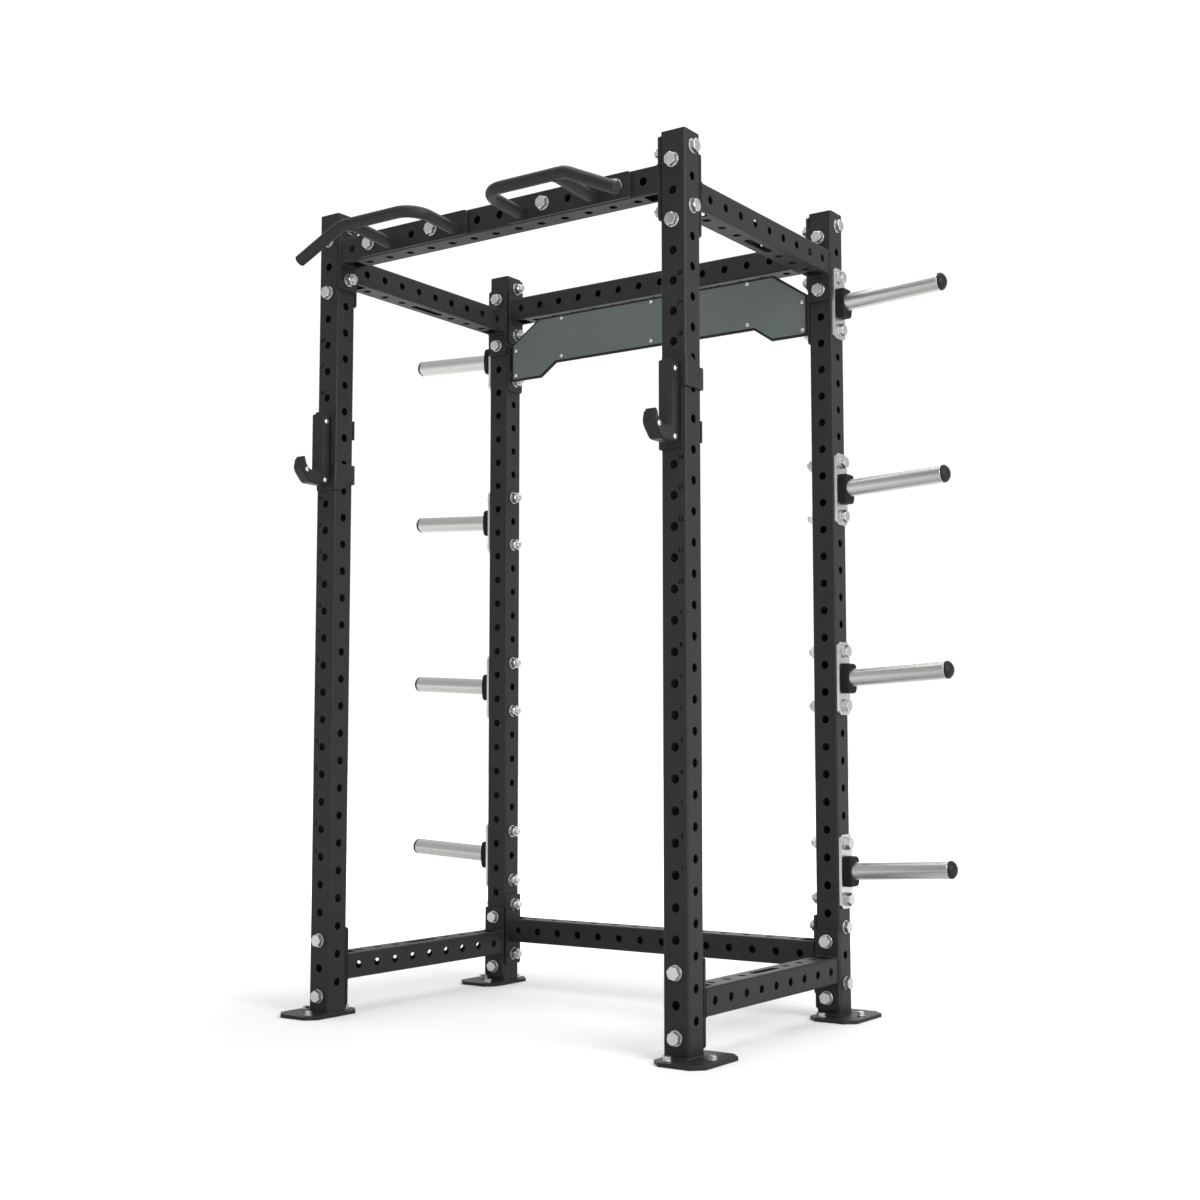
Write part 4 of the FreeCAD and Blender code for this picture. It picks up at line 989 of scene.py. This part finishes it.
def bent_path(corners, radius, spacing=6 * MM):
    """Smooth line through straight runs and arcs of one radius."""
    points = [corners[0]]
    for before, corner, after in zip(corners, corners[1:], corners[2:]):
        back = (before - corner).normalized()
        ahead = (after - corner).normalized()
        half = back.angle(ahead) / 2
        centre = corner + (back + ahead).normalized() * (radius / math.sin(half))
        start = corner + back * (radius / math.tan(half)) - centre
        stop = corner + ahead * (radius / math.tan(half)) - centre
        steps = max(4, round(start.angle(stop) * radius / spacing))
        for step in range(steps + 1):
            turned = start.normalized().slerp(stop.normalized(), step / steps)
            points.append(centre + turned * radius)
    points.append(corners[-1])
    return points


def root_bead(shape, across, face, up):
    """Weld where a grip tube meets its mounting plate."""
    weld(shape, [(x, face, z) for x, z in circle(GRIP_RADIUS, across, up, 48)], 2.2 * MM)


def make_grips():
    """On each side a mounting plate, a bent bar with a closed end, and a strut under its bend."""
    for side, name in ((1, "right"), (-1, "left")):
        low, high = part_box("grip_plate_" + name)
        face = low.y
        beam = (low.z + high.z) / 2
        outline = box_outline(high.x - low.x, high.z - low.z, 8 * MM, (low.x + high.x) / 2, beam)
        holes = [circle(HOLE, side * PITCH * step, beam) for step in (2.5, 3.5, 5.5)]
        shape = Shape()
        plate(shape, outline, holes, high.y - low.y, at((0, high.y, 0), X, Z), 0.9 * MM)
        shape.build("grip_mount_" + name, "frame_paint", "grip_plate_" + name)

        bar_low, bar_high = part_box("grip_bar_" + name)
        bar_y = bar_low.y + GRIP_RADIUS
        root_z, bar_z = beam - GRIP_ROOT_DROP, bar_high.z - GRIP_RADIUS
        root_x, strut_x = side * GRIP_ROOT, side * GRIP_STRUT
        corners = [Vector((root_x, face, root_z)), Vector((root_x, bar_y, bar_z)),
                   Vector((side * GRIP_ELBOW, bar_y, bar_z)),
                   Vector((side * GRIP_END, bar_y, bar_z - GRIP_END_DROP))]
        path = bent_path(corners, GRIP_BEND)
        shape = Shape()
        sweep(shape, path, lambda number: GRIP_RADIUS, 40)
        profile = [(GRIP_RADIUS, 0), (GRIP_RADIUS - 0.5 * MM, 0.4 * MM), (GRIP_RADIUS - 2 * MM, 1.1 * MM),
                   (GRIP_RADIUS * 0.5, 2 * MM), (0, 2.2 * MM)]
        revolve(shape, profile, facing(path[-1], (path[-1] - path[-2]).normalized()), 40)
        root_bead(shape, root_x, face, root_z)
        shape.build("grip_handle_" + name, "frame_paint", "grip_bar_" + name)

        shape = Shape()
        lead = (corners[1] - corners[0]).normalized()
        start = Vector((strut_x, face, root_z))
        sweep(shape, [start, start + lead * ((bar_y - face) / lead.y)], lambda number: GRIP_RADIUS, 40)
        root_bead(shape, strut_x, face, root_z)
        saddle = []
        for across, up in circle(GRIP_RADIUS, steps=64):
            depth = math.sqrt(max(0.0, GRIP_RADIUS ** 2 - up ** 2))
            saddle.append((strut_x + across, bar_y + depth, bar_z + up))
        weld(shape, saddle, 2.4 * MM)
        shape.build("grip_brace_" + name, "frame_paint", "grip_strut_" + name)


# ---- twist-on bar cups

CUP_PLATE = 6 * MM
CUP_GAP = 0.6 * MM
EAR_NEAR = 37.5 * MM
EAR_REAR = 91 * MM
CUP_HALF = 112 * MM
BACK_HALF = 28.6 * MM
LIP = 76 * MM
EAR_SLOPE = (18 * MM, 52 * MM)


def cup_frame(name):
    """Matrix from the cup's own space to the row frame, and the cup's side. In that space -Y
    points out of the cage and the origin is the pin's middle on the post's face."""
    joint = next(item for item in frame["joints"] if item["child"] == "jcup_" + name)
    side = 1 if joint["pos_m"][0] > 0 else -1
    return Matrix.Translation(joint["pos_m"]) @ Matrix.Diagonal((side, 1, 1, 1)), side


def ear(shape, path, heights, place, flip):
    """Bent strip of plate: a path of its middle line (x, y), with its lower and upper edge."""
    rings = []
    half = CUP_PLATE / 2
    for point, along, (low, high) in zip(path, directions(path), heights):
        normal = Vector((along.y, -along.x))
        here = Vector(point)
        outer, inner = here + normal * half, here - normal * half
        outer_in, inner_in = here + normal * (half - EDGE), here - normal * (half - EDGE)
        rings.append([(*outer, low + EDGE), (*outer, high - EDGE), (*outer_in, high),
                      (*inner_in, high), (*inner, high - EDGE), (*inner, low + EDGE),
                      (*inner_in, low), (*outer_in, low)])
    if flip:
        rings = [ring[::-1] for ring in rings]
    shape.rings(rings, place)
    order = list(range(8))
    for ring, backwards in ((rings[0], flip), (rings[-1], not flip)):
        shape.patch(ring, [order if backwards else order[::-1]], place)


def ear_path(half_post):
    """Middle line of an ear from the back plate's edge round the post to the end of its lip, and
    its lower and upper edge, which comes down between EAR_SLOPE's two distances."""
    middle = CUP_GAP + CUP_PLATE / 2
    side = half_post + middle
    rear = 2 * half_post + middle
    bend = 5 * MM
    points = [(BACK_HALF, -middle)]
    points += [(side - bend + bend * sine, -middle + bend - bend * cosine) for sine, cosine in quarter(5)]
    points += [(side, distance) for distance in EAR_SLOPE]
    points += [(side - bend + bend * cosine, rear - bend + bend * sine) for sine, cosine in quarter(5)]
    points.append((side + CUP_PLATE / 2 - LIP, rear))
    heights = []
    for point in points:
        share = min(max((point[1] - EAR_SLOPE[0]) / (EAR_SLOPE[1] - EAR_SLOPE[0]), 0), 1)
        heights.append((EAR_NEAR, CUP_HALF + (EAR_REAR - CUP_HALF) * share))
    return points, heights


def cup_outline(inset):
    """The J shape of the liner in (outwards, up), or of a side plate set back from its edge."""
    back = CUP_GAP + CUP_PLATE
    floor = -65 * MM
    tip = -30 * MM - inset * 2
    top = 98 * MM - inset / 3
    base = -101 * MM + inset
    front = 40 * MM - inset
    return rounded([(back, base, 0), (80 * MM - inset / 2, base, 14 * MM),
                    (112 * MM - inset, floor, 24 * MM), (101 * MM + inset / 3, tip, 2.2 * MM),
                    (96 * MM + inset, tip, 2 * MM), (86 * MM + inset, floor - inset, 32 * MM),
                    (front, floor - inset, 12 * MM + inset), (front, top, 2 * MM),
                    (back, top, 1 * MM)], 8)


def make_cup(name):
    """Bracket with its two ears, plastic liner between side plates, their screws, and the pin."""
    place, side = cup_frame(name)
    body = "jcup_" + name
    flip = side < 0

    shape = Shape()
    front = -(CUP_GAP + CUP_PLATE / 2)
    ear(shape, [(-BACK_HALF, front), (BACK_HALF, front)], [(-CUP_HALF, CUP_HALF)] * 2, place, flip)
    points, heights = ear_path(width_of("upright_front_" + name) / 2)
    ear(shape, points, heights, place, flip)
    lower = [(-across, along) for across, along in points]
    ear(shape, lower, [(-high, -low) for low, high in heights], place, not flip)
    shape.build("cup_bracket_" + name, "cup_paint", "jcup_bracket_" + name, body=body)

    outwards = place @ Matrix(((0, 0, 1, 0), (-1, 0, 0, 0), (0, 1, 0, 0), (0, 0, 0, 1)))
    width = width_of("jcup_liner_" + name)
    cheek = width_of("jcup_inner_cheek_" + name)
    layers = [("cup_liner_", "jcup_liner_", "liner_plastic", 0, -width / 2, width, 1.6 * MM, 4)]
    layers += [("cup_side_%s_" % label, "jcup_%s_cheek_" % label, "cup_paint", 3 * MM, start, cheek,
                0.8 * MM, 2) for label, start in (("inner", -width / 2 - cheek), ("outer", width / 2))]
    for piece, node, slot, inset, start, thickness, edge, steps in layers:
        shape = Shape()
        plate(shape, cup_outline(inset), [], thickness,
              outwards @ Matrix.Translation((0, 0, start)), edge, steps)
        if flip:
            shape.faces = [face[::-1] for face in shape.faces]
        shape.build(piece + name, slot, node + name, body=body)

    shape = Shape()
    reach = width / 2 + cheek
    for number, (low, high, middle) in enumerate(boxes("jcup_screws_" + name)):
        for direction in (X, -X):
            button_head(shape, (high.z - low.z) / 2, (high.x - low.x) / 2 - reach,
                        facing(middle + direction * reach, direction, number))
    shape.build("cup_screws_" + name, "zinc", "jcup_screws_" + name, body=body)

    shape = Shape()
    low, high, middle = node_box("jcup_pin_" + name)
    radius = (high.z - low.z) / 2
    length = high.y - low.y
    profile = [(radius, 0), (radius, length - 2.5 * MM), (radius - 2.5 * MM, length), (0, length)]
    revolve(shape, profile, facing((middle.x, low.y, middle.z), Y), 40, (1, 2))
    shape.build("cup_pin_" + name, "zinc", "jcup_pin_" + name, body=body)


# ---- camera, light and floor

def make_camera():
    data = bpy.data.cameras.new("camera")
    data.sensor_width = 36
    data.lens = 50.0
    data.clip_end = 100
    camera = linked("camera", data)
    posts_y = ((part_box("upright_front_left")[0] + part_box("upright_rear_right")[1]) / 2).y
    camera.location = (2.688, -3.762 + posts_y, 0.733)
    camera.rotation_euler = (math.radians(90 + 5.013), 0, math.radians(34.88))
    bpy.context.scene.camera = camera


def area_light(name, location, target, size, power):
    data = bpy.data.lights.new(name, "AREA")
    data.shape = "RECTANGLE"
    data.size, data.size_y = size
    data.energy = power
    light = linked(name, data)
    light.location = location
    aim = Vector(target) - Vector(location)
    light.rotation_euler = aim.to_track_quat("-Z", "Y").to_euler()


def make_world():
    """White surround, a little dimmer as a light than as the background that the camera sees."""
    world = bpy.data.worlds.new("studio")
    bpy.context.scene.world = world
    world.use_nodes = True
    nodes = world.node_tree.nodes
    links = world.node_tree.links
    mix = nodes.new("ShaderNodeMixShader")
    for slot, background, strength in ((1, nodes["Background"], 0.8),
                                       (2, nodes.new("ShaderNodeBackground"), 1.05)):
        fill(background, Color=(1, 1, 1, 1), Strength=strength)
        links.new(background.outputs["Background"], mix.inputs[slot])
    rays = nodes.new("ShaderNodeLightPath")
    links.new(rays.outputs["Is Camera Ray"], mix.inputs["Fac"])
    links.new(mix.outputs["Shader"], nodes["World Output"].inputs["Surface"])


def make_studio():
    """World, four soft lights, and a floor that takes shadows near the cage only."""
    make_world()
    area_light("key_right", (5.5, -1.6, 3.2), (0, 0, 1.1), (3.0, 3.0), 330)
    area_light("fill_left", (-5.0, 1.5, 3.0), (0, 0, 1.0), (3.0, 3.0), 20)
    area_light("top_soft", (0.4, 0.3, 5.2), (0.2, 0, 0), (4.0, 4.0), 130)
    area_light("rim_back", (-1.5, 5.0, 3.4), (0, 0, 1.2), (4.0, 2.0), 90)

    mesh = bpy.data.meshes.new("floor")
    reach = 30
    mesh.from_pydata([(-reach, -reach, 0), (reach, -reach, 0), (reach, reach, 0), (-reach, reach, 0)],
                     [], [(0, 1, 2, 3)])
    floor = linked("floor", mesh)
    floor.location.z = -0.2 * MM
    material, tree, shader = node_material("floor_white")
    fill(shader, Base_Color=(0.6, 0.6, 0.6, 1), Roughness=0.7, Specular_IOR_Level=0.1,
         Emission_Color=(1, 1, 1, 1))
    distance = tree.nodes.new("ShaderNodeVectorMath")
    distance.operation = "LENGTH"
    tree.links.new(coordinates(tree), distance.inputs[0])
    glow = spread(tree, distance.outputs["Value"], 0.12, 0.9, 0.9, 3.2)
    tree.links.new(glow, shader.inputs["Emission Strength"])
    mesh.materials.append(material)


# ---- put it together

make_camera()
make_studio()
make_posts()
make_numerals()
make_beams()
make_feet()
make_post_caps()
make_bolts("frame_bolts", "hex_bolts")
make_bolts("grip_bolts", "grip_hex_bolts")
make_nuts()
make_washers()
make_anchors()
for side_name in ("right", "left"):
    make_peg_plates(side_name)
    make_peg_tubes(side_name)
    make_bumpers(side_name)
    make_cup(side_name)
make_sign()
make_grips()

bpy.context.scene.view_settings.view_transform = "Standard"
